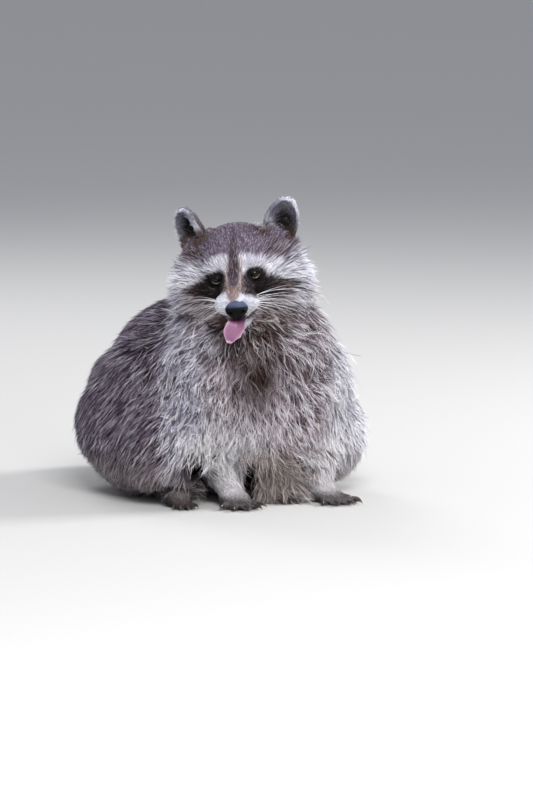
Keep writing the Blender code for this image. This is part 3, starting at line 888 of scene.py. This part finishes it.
def whiskers(surface):
    """Stiff white whiskers in rows on each side of the muzzle, that droop towards their tips."""
    draw = np.random.default_rng(31)
    shares = np.linspace(0, 1, 9)
    lines = []
    for side, row, column, root in whisker_roots():
        length = (0.030 + 0.0075 * column) * draw.uniform(0.8, 1.15)
        out = unit(np.array([side * (0.85 - 0.05 * row), 0.35 + 0.10 * column, 0.22 - 0.24 * row]))
        out = unit(out + draw.normal(0, 0.08, 3))
        bend = np.array([0, 0.30, -0.22 * draw.uniform(0.5, 1.5)]) * length
        line = root + out * (length * shares)[:, None] + bend * (shares**2)[:, None]
        lines.append((from_head(line), 0.00030 * (1 - shares * 0.85)))
    add_piece("whiskers", swept("whiskers", lines, surface, 5), None)


# ---- markings


def depth_inside(places, outline):
    """How far points lie inside a closed outline, in its own units. Outside it is negative."""
    outline = np.array(outline, float)
    nearest = np.full(len(places), np.inf)
    inside = np.zeros(len(places), bool)
    for start, end in zip(outline, np.roll(outline, -1, axis=0)):
        edge = end - start
        share = np.clip(((places - start) @ edge) / (edge @ edge), 0, 1)
        gap = places - start - share[:, None] * edge
        nearest = np.minimum(nearest, np.hypot(*gap.T))
        crosses = (start[1] > places[:, 1]) != (end[1] > places[:, 1])
        rise = edge[1] if edge[1] else 1e-9
        inside ^= crosses & (places[:, 0] < start[0] + edge[0] * (places[:, 1] - start[1]) / rise)
    return np.where(inside, nearest, -nearest)


# Markings of the face, as (distance from the middle line, height) in millimetres
MASK = [(11, 2), (15, 6), (22, 6.5), (29, 3.5), (42, -4.5), (54, -11), (67, -15), (67, -19), (54, -25)]
MASK += [(38, -28), (26, -29), (20, -24), (15, -14), (11, -4)]
BROW = [(6, 25), (17, 23.5), (27, 20), (38, 16), (51, 12), (72, 4), (92, -12), (72, -18), (54, -11), (42, -4)]
BROW += [(31, 4), (22, 8), (15, 8), (8, 2), (6, 12)]


class Markings:
    """Tip and root colours at points, and how much the hairs there differ, laid on one over another."""

    def __init__(self, count, tip, root, spread):
        self.count = count
        self.tips, self.roots = plain_colour(tip, count), plain_colour(root, count)
        self.speckle = np.full(count, spread)

    def lay(self, share, tip, root, spread=None):
        share = np.broadcast_to(share, self.count).astype(float)
        self.tips = mix(self.tips, linear(tip), share)
        self.roots = mix(self.roots, linear(root), share)
        if spread is not None:
            self.speckle = self.speckle + (spread - self.speckle) * share


def face_colours(points):
    """Tip and root colours on the head, and how much the hairs differ from each other."""
    places = to_head(points) * 1000
    x, y, z = places.T
    x, z = x - z * math.sin(MARKING_TILT) + 0.8, z + x * math.sin(MARKING_TILT)
    wobble = patchiness(points, 0.006, 11) * 1.6
    out = np.abs(x) + 0.5 * wobble
    flat = np.stack([out - 0.06 * x, z + wobble], axis=1)  # it reaches farther out on the left
    marks = Markings(len(points), "a39ca6", "41363a", 0.45)
    lay = marks.lay
    lay(smooth(17, 25, z + 0.10 * out), "897c8f", "362930", 0.37)
    lay(smooth(-16, -26, z) * smooth(-28, -18, y), "beb2b4", "66514b", 0.60)
    # On the animal's left only, the lower cheek below the mouth corner is darker brown: partly its own brown
    # hair, partly painted shade below the muzzle.
    lay(0.75 * smooth(16, 26, x) * smooth(62, 44, x) * smooth(-22, -30, z), "85746c", "372a25", 0.70)
    ruff = smooth(52, 72, np.abs(x)) * smooth(34, 8, z)
    lay(ruff * (1 - 0.5 * smooth(40, 75, y)), "dcdbe6", "665c65", 0.60)
    lay(smooth(-2.5, 2.5, depth_inside(flat, BROW)) * smooth(82, 56, y), "f8f8ff", "a8a1b0", 0.24)
    lay(0.8 * bell((out - 47) / 11, (z - 24) / 8), "735d5b", "35282a")
    between = smooth(26, 15, out) * smooth(6, -1, z) * smooth(6, -6, y)
    lay(between, "69565a", "302326", 0.50)
    edging = smooth(10.5, 8.0, out) * smooth(-13, -5, z) * smooth(24, 15, z)
    lay(0.75 * edging, "c9bab2", "776660", 0.35)
    stripe_half = np.interp(z, [-8, 5, 26, 42], [5.0, 6.6, 4.6, 2.0])
    stripe = smooth(1.8, -1.6, out - stripe_half) * smooth(-13, -5, z) * smooth(52, 38, z)
    lay(stripe, "6d5e68", "33272d", 0.30)
    mask = smooth(-1.6, 2.4, depth_inside(flat, MASK)) * smooth(48, 30, y)
    lay(mask, "302729", "151112", 0.12)
    paler = np.maximum(smooth(36, 62, out), 0.12 * smooth(26, 12, out) * smooth(-6, -12, z))
    lay(mask * paler, "73605d", "322726", 0.30)
    top = -11.5 - 0.45 * (out - 8)
    pads = smooth(-27, -34, y) * smooth(2.5, -3.0, z - top + wobble)
    lay(pads * smooth(2.5, 7.0, out + np.clip(-y - 38, 0, 12) * 0.5), "f1f2f9", "a8a6b4", 0.10)
    half = np.interp(z, [-21, -9], [4.0, 9.5])
    bridge = smooth(-14, -26, y) * smooth(2.0, -1.5, out - half + wobble) * smooth(-4, -10, z)
    lay(0.9 * bridge, "ab9189", "5d4740", 0.65)
    for _, _, _, root in whisker_roots():
        spot = np.linalg.norm(places / 1000 - root, axis=1)
        lay(0.6 * smooth(0.0014, 0.0006, spot), "4a4248", "2a2528")
    lay(smooth(-43, -47, z) * smooth(-6, -16, y), "d8d6dc", "85808a", 0.15)
    lay(bell((z + 43.3) / 1.8) * smooth(-6, -14, y), "1c1819", "141112", 0.0)
    for side in SIDES.values():
        gap = seen_from_eye(places / 1000, side) * [0.84, 1.15, 0.5]
        lay(smooth(0.0125, 0.0078, np.linalg.norm(gap, axis=1)), "150f10", "0f0b0b", 0.0)
        tuft = bell(np.linalg.norm(places - [side * 33, 42, 41], axis=1) / 12)
        lay(0.95 * tuft, "4c382d", "201612", 0.35)
    return marks.tips, marks.roots, marks.speckle


def tail_share(points):
    """How far round its curve a point of the tail lies, from 0 at its root to 1 at its tip."""
    across, along = (points[:, :2] - tail_centre()).T
    reach_across, reach_along, turn = 0.176, 0.152, 104
    return np.clip(np.degrees(np.arctan2(across / reach_across, along / reach_along)) / turn, -0.1, 1)


def body_colours(points, solids, normals):
    """Tip and root colours over the whole animal, and how much the hairs differ."""
    x, y, z = points.T
    turn = math.radians(CHEST_TURN)
    across = x * math.cos(turn) + y * math.sin(turn) - CHEST_MIDDLE
    ahead = x * math.sin(turn) - y * math.cos(turn)
    kinds = kinds_of(solids)
    blotch = patchiness(points, 0.035, 3)
    edge = across + 0.010 * patchiness(points, 0.018, 9)
    marks = Markings(len(points), "7a6c80", "2e2127", 0.56)
    lay = marks.lay
    start = np.where(across > 0, 0.010, 0.060)
    front = smooth(-0.126, -0.108, edge) * smooth(0, 1, (ahead - start) / 0.045)
    lay(front, "dbccd4", "543b34", 1.0)
    lay(front * smooth(-0.050, -0.085, across), "d0cfe4", "504652", 1.0)
    lay(front * smooth(0.050, 0.085, across) * smooth(0.24, 0.16, z), "f2f2fa", "8d8893", 0.50)
    lay(front * smooth(-0.045, -0.075, across) * smooth(0.155, 0.190, z), "dddce8", "756c7a", 0.70)
    lay(front * smooth(0.072, 0.096, across) * smooth(0.16, 0.20, z), "f0f0fa", "85808c", 0.55)
    flank = front * smooth(-0.095, -0.045, across) * smooth(0.02, -0.01, across) * smooth(0.130, 0.075, z)
    lay(flank, "fbf8fd", "857d82", 0.55)
    # Dark brown on the middle of the chest and at the throat, right below the head: partly the fur's own
    # brown, partly painted shade under the head.
    brown = bell((across + 0.009) / 0.033, (z - 0.148) / 0.044) * smooth(0.05, 0.09, ahead)
    lay(0.98 * brown, "443028", "1b110d", 0.05)
    throat = bell((across + 0.010) / 0.055) * smooth(0.165, 0.190, z) * front
    lay(0.80 * throat, "735c54", "2c1f1b", 0.60)
    shoulder = bell((across - 0.040) / 0.022, (z - 0.165) / 0.04) * front
    lay(0.8 * shoulder, "836f76", "35282b", 0.9)
    belly = smooth(0.040, 0.028, np.abs(across - 0.005)) * smooth(0.085, 0.045, z) * (kinds == "chest")
    lay(belly, "a3968f", "4d4039", 0.5)
    # Near the floor the hair and its roots are painted paler: painted light from the floor's bounce into the
    # shade under the belly.
    under = smooth(0.060, 0.030, z) * (ahead > -0.02) * np.isin(kinds, ["chest", "rump", "hind_leg"])
    lay(0.7 * under, "b3a9a6", "8b817f", 0.3)
    lay((kinds == "foreleg") * smooth(0.100, 0.060, z), "f3f1f4", "8a8281", 0.45)
    lay(0.5 * (kinds == "hind_leg") * smooth(0.10, 0.03, z) * (across < 0), "8f8589", "3b3233")
    lay(kinds == "forepaw", "efecef", "aaa3a4", 0.15)
    lay(kinds == "hind_foot", "9c9391", "544c4b", 0.12)
    lay(0.85 * np.isin(kinds, ["forepaw", "hind_foot"]) * smooth(0.018, 0.008, z), "6b6261", "332d2c")

    on_tail = kinds == "tail"
    rings = np.sin(tail_share(points) * 2 * math.pi * TAIL_RINGS + 2.0 + 0.35 * patchiness(points, 0.012, 5))
    dark = np.maximum(smooth(-0.25, 0.25, rings), smooth(0.90, 0.94, tail_share(points)))
    lay(on_tail, "b3a79d", "4a403c", 0.30)
    lay(on_tail * dark, "3b3331", "1c1716", 0.15)

    on_ear, on_head = kinds == "ear", kinds == "head"
    tips, roots, speckle = marks.tips, marks.roots, marks.speckle
    tips[on_ear], roots[on_ear] = ear_colours(points[on_ear], solids[on_ear], normals[on_ear])
    speckle[on_ear] = 0.15
    tips[on_head], roots[on_head], speckle[on_head] = face_colours(points[on_head])
    shade = 1 + 0.10 * blotch[:, None]
    return tips * shade, roots * shade, speckle


def ear_frame(name):
    """An ear's middle, and its own axes: across, up to its tip and out of its cup."""
    corners = to_head(points_of(NODES[f"ear_{name}"].data))
    centre = corners.mean(axis=0)
    spread = np.linalg.svd(corners - centre, full_matrices=False)[2]
    up, facing = spread[0] * np.sign(spread[0][2]), spread[2] * -np.sign(spread[2][1])
    return centre, np.stack([np.cross(facing, up), up, facing], axis=1), corners


def ear_colours(points, solids, normals):
    """A grey cup, darkest in its middle as painted shade in the ear's hollow, with a thin white rim, and
    brown hair at its inner foot.
    """
    tips = plain_colour("a09daa", len(points))
    roots = plain_colour("4f4b53", len(points))
    for name, side in SIDES.items():
        on = solids == f"ear_{name}"
        centre, axes, corners = ear_frame(name)
        spans = (corners - centre) @ axes
        spans = spans.min(axis=0), np.ptp(spans, axis=0)
        across, up, _ = (2 * ((to_head(points[on]) - centre) @ axes - spans[0]) / spans[1] - 1).T
        inward = -side * across * np.sign(axes[0, 0])
        facing = (normals[on] @ HEAD_SPIN) @ axes[:, 2]
        round_cup = np.hypot(inward, up)
        cup = smooth(-0.05, 0.30, facing)
        rim = smooth(0.88, 0.97, round_cup) * smooth(-0.75, -0.35, up) * smooth(-0.35, -0.05, facing)
        turned = bell((facing - 0.10) / 0.18)
        rim = np.maximum(rim, 0.8 * turned * smooth(0.70, 0.92, round_cup) * smooth(-0.4, 0.0, up))
        inner_side = smooth(0.35, 0.75, inward) * smooth(0.35, 0.0, facing) * (1 - rim)
        # Painted shade: the cup darkens towards its hollow, and its roots there are darker still.
        hollow_shade = smooth(0.80, 0.30, np.hypot(inward + 0.18, (up + 0.20) * 0.8))
        inner = mix(plain_colour("9a98a6", len(up)), linear("2b2628"), hollow_shade)
        streak = smooth(0.20, 0.70, inward) * smooth(0.7, 0.2, up) * smooth(-0.75, -0.35, up)
        inner = mix(inner, linear("d5d4de"), 0.75 * streak)
        foot = smooth(-0.30, -0.75, up - 0.50 * smooth(0.1, 0.8, inward))
        inner = mix(inner, linear("5c4234"), 0.90 * foot)
        tone = mix(mix(tips[on], linear("6b5a5c"), inner_side), inner, cup)
        tips[on] = mix(tone, linear("eff1fa"), rim * (1 - foot))
        roots[on] = mix(mix(roots[on], inner * 0.45, cup), linear("a5a6b4"), rim * (1 - foot))
    return tips, roots


# ---- coat


def scatter(mesh, points, density):
    """Random places on a mesh, as (triangle's corners, their shares). density is places per square metre."""
    mesh.calc_loop_triangles()
    corners = fetched(mesh.loop_triangles, "vertices")
    a, b, c = (points[corners[:, i]] for i in range(3))
    areas = np.linalg.norm(np.cross(b - a, c - a), axis=1) / 2
    wanted = np.cumsum(areas * density[corners].mean(axis=1))
    chosen = np.searchsorted(wanted, RANDOM.uniform(0, wanted[-1], int(wanted[-1])))
    corners = corners[chosen.clip(0, len(corners) - 1)]
    first, second = RANDOM.random((2, len(corners)))
    folded = first + second > 1
    first, second = np.where(folded, 1 - first, first), np.where(folded, 1 - second, second)
    return corners, np.stack([1 - first - second, first, second], axis=1)


def blended(values, corners, shares):
    return np.einsum("ij...,ij->i...", values[corners], shares)


def unfolded(points, normals):
    """Each point's place on the unfolded skin: six charts, one for each way that the skin faces."""
    rows = np.arange(len(points))
    axis = np.argmax(np.abs(normals), axis=1)
    chart = axis * 2 + (normals[rows, axis] > 0)
    flat = (points - points.min(axis=0)) / np.ptp(points, axis=0)
    across, up = flat[rows, (axis + 1) % 3], flat[rows, (axis + 2) % 3]
    return np.stack([(chart % 3 + 0.04 + 0.92 * across) / 3, (chart // 3 + 0.04 + 0.92 * up) / 2], axis=1)


def hair_mesh(name, centre, half_width, colours, places, steps):
    """Ribbons as one mesh. centre is each hair's line (hairs, steps, 3), which ends in its pointed tip."""
    count = len(centre)
    edges = np.stack([centre[:, :-1] - half_width, centre[:, :-1] + half_width], axis=2)
    points = np.concatenate([edges.reshape(count, -1, 3), centre[:, -1:]], axis=1)
    each = points.shape[1]
    base = (np.arange(count) * each)[:, None]
    quads = [base + [2 * i, 2 * i + 1, 2 * i + 3, 2 * i + 2] for i in range(steps - 2)]
    last = 2 * (steps - 2)
    tips = base + [last, last + 1, last + 2]
    mesh = new_mesh(name, points.reshape(-1, 3), [np.concatenate(quads), tips])
    tone = np.concatenate([np.repeat(colours[:, :-1], 2, axis=1), colours[:, -1:]], axis=1)
    paint(mesh, "coat", tone.reshape(-1, 3))
    across = np.array([-1, 1] * (steps - 1) + [0]) * BAKE_PATCH / 2
    along = np.append(np.repeat(np.linspace(-1, 1, steps)[:-1], 2), 1) * BAKE_PATCH / 2
    flat = places[:, None, :] + np.stack([across, along], axis=1)[None]
    layer = mesh.uv_layers.new(name="OFBake")
    corner = fetched(mesh.loops, "vertex_index", 1).ravel()
    layer.data.foreach_set("uv", np.clip(flat.reshape(-1, 2)[corner], 0, 1).astype(np.float32).ravel())
    return mesh


def bare(points, kinds):
    """Where no hair grows: the eyes' openings, the nose, the soles."""
    places = to_head(points)
    found = points[:, 2] < SOLE_HEIGHT
    for side in SIDES.values():
        across, up, ahead = seen_from_eye(places, side).T
        almond = (across / EYE_OPENING[0]) ** 2 + (up / EYE_OPENING[1]) ** 2
        found |= (almond < 1.5) & (ahead > 0) & (kinds == "head")
    nose, radius = BARE_NOSE
    return found | (np.linalg.norm(places - nose, axis=1) < radius)


def roots_of(skin, points, normals, solids, values, lies):
    """Where locks start, and how they grow there, as a dictionary of arrays."""
    length = values[:, 1] / 1000
    kinds = kinds_of(solids)
    cover = 2.3 + 2.7 * smooth(0.006, 0.022, length)
    cover *= np.where(kinds == "ear", 1.2, np.where(np.isin(kinds, ["rump", "hind_leg", "tail"]), 0.86, 1))
    cover *= np.where(np.isin(kinds, SHAGGY), 1.15, 1)
    density = cover / (0.75 * length.clip(0.003) * hair_width(length) * HAIRS_IN_LOCK)
    corners, shares = scatter(skin, points, np.where(bare(points, kinds), 0, density))
    locks = {"root": points, "normal": normals, "lie": lies, "length": length}
    locks["lift"] = np.radians(values[:, 2])
    locks = {name: blended(array, corners, shares) for name, array in locks.items()}
    locks["owner"] = solids[corners[:, 0]]
    kinds = kinds[corners[:, 0]]
    root, normal = locks["root"], unit(locks["normal"])
    curly = np.where(np.isin(kinds, SHAGGY), 1.0, np.where(kinds == "head", 0.35, 0.45))
    swirl = patchiness(root, 0.024, 21) * 0.45 + patchiness(root, 0.009, 22) * 0.45
    swirl = swirl + RANDOM.normal(0, 0.42, len(root))
    side = np.cross(normal, unit(locks["lie"]))
    lie = unit(locks["lie"]) + side * (swirl * curly)[:, None]
    locks["lie"] = unit(lie - normal * np.sum(lie * normal, axis=1, keepdims=True))
    locks["normal"], locks["side"], locks["curl"] = normal, np.cross(normal, locks["lie"]), 0.17 * curly
    locks["lift"] = locks["lift"] * np.exp(RANDOM.normal(0, 0.18, len(root)))
    stray = 0.14 * smooth(0.012, 0.020, locks["length"]) * np.where(kinds == "head", 0.3, 1)
    wisps = RANDOM.random(len(root)) < stray
    locks["length"] = locks["length"] * RANDOM.uniform(0.75, 1.15, len(root)) * np.where(wisps, 1.28, 1)
    locks["curl"] = locks["curl"] * np.where(wisps, 1.8, 1)
    locks["lift"] = locks["lift"] * np.where(wisps, 1.15, 1)
    forward = locks["lie"] + 0.4 * np.sin(locks["lift"])[:, None] * normal
    reach = root + forward * 0.6 * locks["length"][:, None]
    locks["tip"], _, locks["speckle"] = body_colours(reach, locks["owner"], normal)
    locks["base"] = body_colours(root, locks["owner"], normal)[1]
    locks["place"] = unfolded(root, normal)
    return locks


def hair_width(length):
    return np.clip(length * 0.018, 0.00030, 0.00039)


def lock_lines(root, normal, lie, side, length, lift, curl, along):
    """Each hair's line, for locks of hairs that start apart and close up towards their tips."""
    count, hairs = len(root), HAIRS_IN_LOCK
    spread = np.clip(length * 0.016, 0.00022, 0.00042)[:, None, None]
    first, second = (RANDOM.normal(0, 1, (2, count, hairs, 1)) * spread) * (1 - 0.70 * along)
    each = (length[:, None] * RANDOM.uniform(0.72, 1.12, (count, hairs)))[..., None]
    stand = np.sin(lift)[:, None, None] * each * along * (1 - 0.38 * along) - 0.03 * each
    forward = np.cos(lift)[:, None, None] * each * along + first
    bend = RANDOM.normal(0, 1, (count, 1, 1)) * np.sin(along * 3.4 + RANDOM.uniform(-1, 1, (count, 1, 1)))
    bend = bend * curl[:, None, None] + RANDOM.normal(0, 0.026, (count, hairs, 1)) * along**2
    bend = bend * each * along**0.5
    line = root[:, None, None] + lie[:, None, None] * forward[..., None]
    line = line + side[:, None, None] * (bend + second)[..., None] + normal[:, None, None] * stand[..., None]
    line[..., 2] = np.maximum(line[..., 2] - 0.05 * each * along**2, ON_FLOOR)
    return line


def hair_tones(tip, base, speckle, fade):
    """Each hair's colours from its dark root to its pale tip, with odd dark and white hairs. The dark root is
    partly the underfur's own colour and partly painted shade deep in the coat.
    """
    count, hairs = len(tip), HAIRS_IN_LOCK
    tone = RANDOM.normal(0, 0.13, (count, hairs)) + RANDOM.normal(0, 0.16, (count, 1))
    odd = RANDOM.random((count, 1)) * 0.75 + RANDOM.random((count, hairs)) * 0.25
    dark = smooth(0.50, 0.30, odd / speckle[:, None].clip(0.1) ** 0.7) * 0.80
    bright = smooth(0.54, 0.68, odd + 0.15 * (speckle[:, None] - 0.8)) * speckle[:, None].clip(0, 1)
    tips = np.repeat(tip[:, None], hairs, axis=1) * np.exp(tone)[..., None]
    tips = mix(mix(tips, linear("33231f"), dark), linear("fbf9ff"), bright)
    bases = np.repeat(base[:, None], hairs, axis=1) * np.exp(tone)[..., None]
    return np.clip(bases[:, :, None] + (tips - bases)[:, :, None] * fade[:, None], 0, 0.93) ** 1.15


def grow(locks, surface):
    """Makes the pieces of the coat from the locks' roots."""
    names = piece_of(locks["owner"], locks["root"])
    for name in sorted(set(names)):
        own = {key: array[names == name] for key, array in locks.items()}
        mean = own["length"].mean()
        along = next(np.array(steps) for longer_than, steps in HAIR_STEPS if mean > longer_than)
        steps = len(along)
        shape = ("root", "normal", "lie", "side", "length", "lift", "curl")
        line = lock_lines(*(own[key] for key in shape), along)
        count = line.shape[0] * line.shape[1]
        roll = RANDOM.normal(0, 0.5, line.shape[:2])[..., None]
        flat = own["side"][:, None] * np.cos(roll) + own["normal"][:, None] * np.sin(roll)
        width = hair_width(own["length"])[:, None] * RANDOM.uniform(0.4, 0.6, line.shape[:2])
        half_width = flat[:, :, None] * (width[..., None] * (1 - 0.55 * along[:-1] ** 2))[..., None]
        # Colour runs from the root's colour to the tip's: the dark lower part is partly the underfur's own
        # colour, partly painted shade within the coat.
        fade = smooth(0.16, 0.92, along) if steps > 3 else np.array([0.15, 0.75, 1.0])
        colours = hair_tones(own["tip"], own["base"], own["speckle"], fade)
        mesh = hair_mesh(
            name,
            line.reshape(count, steps, 3),
            half_width.reshape(count, steps - 1, 3),
            colours.reshape(count, steps, 3),
            np.repeat(own["place"], HAIRS_IN_LOCK, axis=0),
            steps,
        )
        add_piece(name, mesh, surface)


def piece_of(owners, points):
    """The piece of the coat that each lock belongs to."""
    names = np.empty(len(owners), dtype="U24")
    for piece, solids in COAT_PIECES.items():
        names[np.isin(owners, solids)] = piece
    places = to_head(points)
    names[(places[:, 1] > 0.022) & (names == "coat_face")] = "coat_ruff"
    on_head = np.isin(names, ["coat_face", "coat_ruff", "coat_ears"])
    left = np.where(on_head, places[:, 0], points[:, 0] - middle("rump").x) > 0
    halved = np.isin(names, ["coat_face", "coat_ruff", "coat_rump", "coat_chest"])
    halves = np.char.add(names, np.where(left, "_left", "_right"))
    return np.where(halved, halves, names)


# ---- stage and camera


def soft_light(name, place, target, size, power):
    lamp = bpy.data.lights.new(name, "AREA")
    lamp.size = size
    lamp.energy = power
    obj = placed(name, lamp)
    obj.location = place
    obj.rotation_euler = (Vector(target) - Vector(place)).to_track_quat("-Z", "Y").to_euler()


def studio():
    floor_mesh = bpy.data.meshes.new("floor")
    with edited(floor_mesh) as form:
        bmesh.ops.create_grid(form, x_segments=1, y_segments=1, size=12)
    floor = placed("floor", floor_mesh)
    paper, _, _ = new_material("studio_floor", Roughness=0.9, Base_Color=linear("c9c8c5"))
    floor_mesh.materials.append(paper)
    world = bpy.data.worlds.new("studio")
    world.use_nodes = True
    sky = world.node_tree.nodes["Background"].inputs
    sky["Color"].default_value = (0.86, 0.89, 1.0, 1)
    sky["Strength"].default_value = 0.50
    bpy.context.scene.world = world
    bpy.context.scene.view_settings.view_transform = "Standard"
    soft_light("key", (-0.9, -2.3, 1.9), (0, 0, 0.15), 1.3, 76)
    soft_light("side", (2.2, -0.6, 1.4), (0, 0, 0.15), 0.8, 60)
    soft_light("back", (0.2, 2.2, 2.0), (0, 0, 0.15), 1.2, 26)


CAMERA_AZIMUTH, CAMERA_HEIGHT = math.radians(-30), math.radians(7)
FIELD_HEIGHT = 0.904  # how much of the upright middle plane the frame's long side covers
SENSOR, LENS = 36, 240
BELOW_SHOULDERS = (-0.0224, -0.1039, 0)
AIM_ACROSS, AIM_UP = 0.0164, 0.1119  # from there, along the frame


def camera():
    azimuth, height = CAMERA_AZIMUTH, CAMERA_HEIGHT
    right = Vector((math.cos(azimuth), math.sin(azimuth), 0))
    level = math.cos(height)
    back = Vector((math.sin(azimuth) * level, -math.cos(azimuth) * level, math.sin(height)))
    aim = Vector(BELOW_SHOULDERS) + right * AIM_ACROSS + back.cross(right) * AIM_UP
    lens = bpy.data.cameras.new("camera")
    lens.sensor_width = SENSOR
    lens.lens = LENS
    lens.clip_end = 50
    obj = placed("camera", lens)
    obj.location = aim + back * (FIELD_HEIGHT * LENS / SENSOR)
    obj.rotation_euler = back.to_track_quat("Z", "Y").to_euler()
    bpy.context.scene.camera = obj


# ---- the whole animal

STRANDS = strand_tree()
EYE = wet_eye()
skin, points, normals, solids, values, lies = make_skin()
tips, roots, _ = body_colours(points, solids, normals)
shortness = smooth(16, 3, values[:, 1])
# Under long hair the skin is painted darker than the hairs' roots, painted shade beneath the coat; under
# short hair it takes the hairs' middle colour.
paint(skin, "coat", mix(roots * 0.6, (roots + tips) / 2, 0.8 * shortness))
add_piece("skin", skin, short_hair_skin(), replaced=FLESH)
grow(roots_of(skin, points, normals, solids, values, lies), guard_hair())
for name, side in SIDES.items():
    eyeball(name, side, EYE)
lid_edges(lid_skin(), tear_film_painted_glint())
nose_pad(nose_leather())
tongue(wet_tongue())
claws(claw_horn())
whiskers(whisker_hair())
studio()
camera()
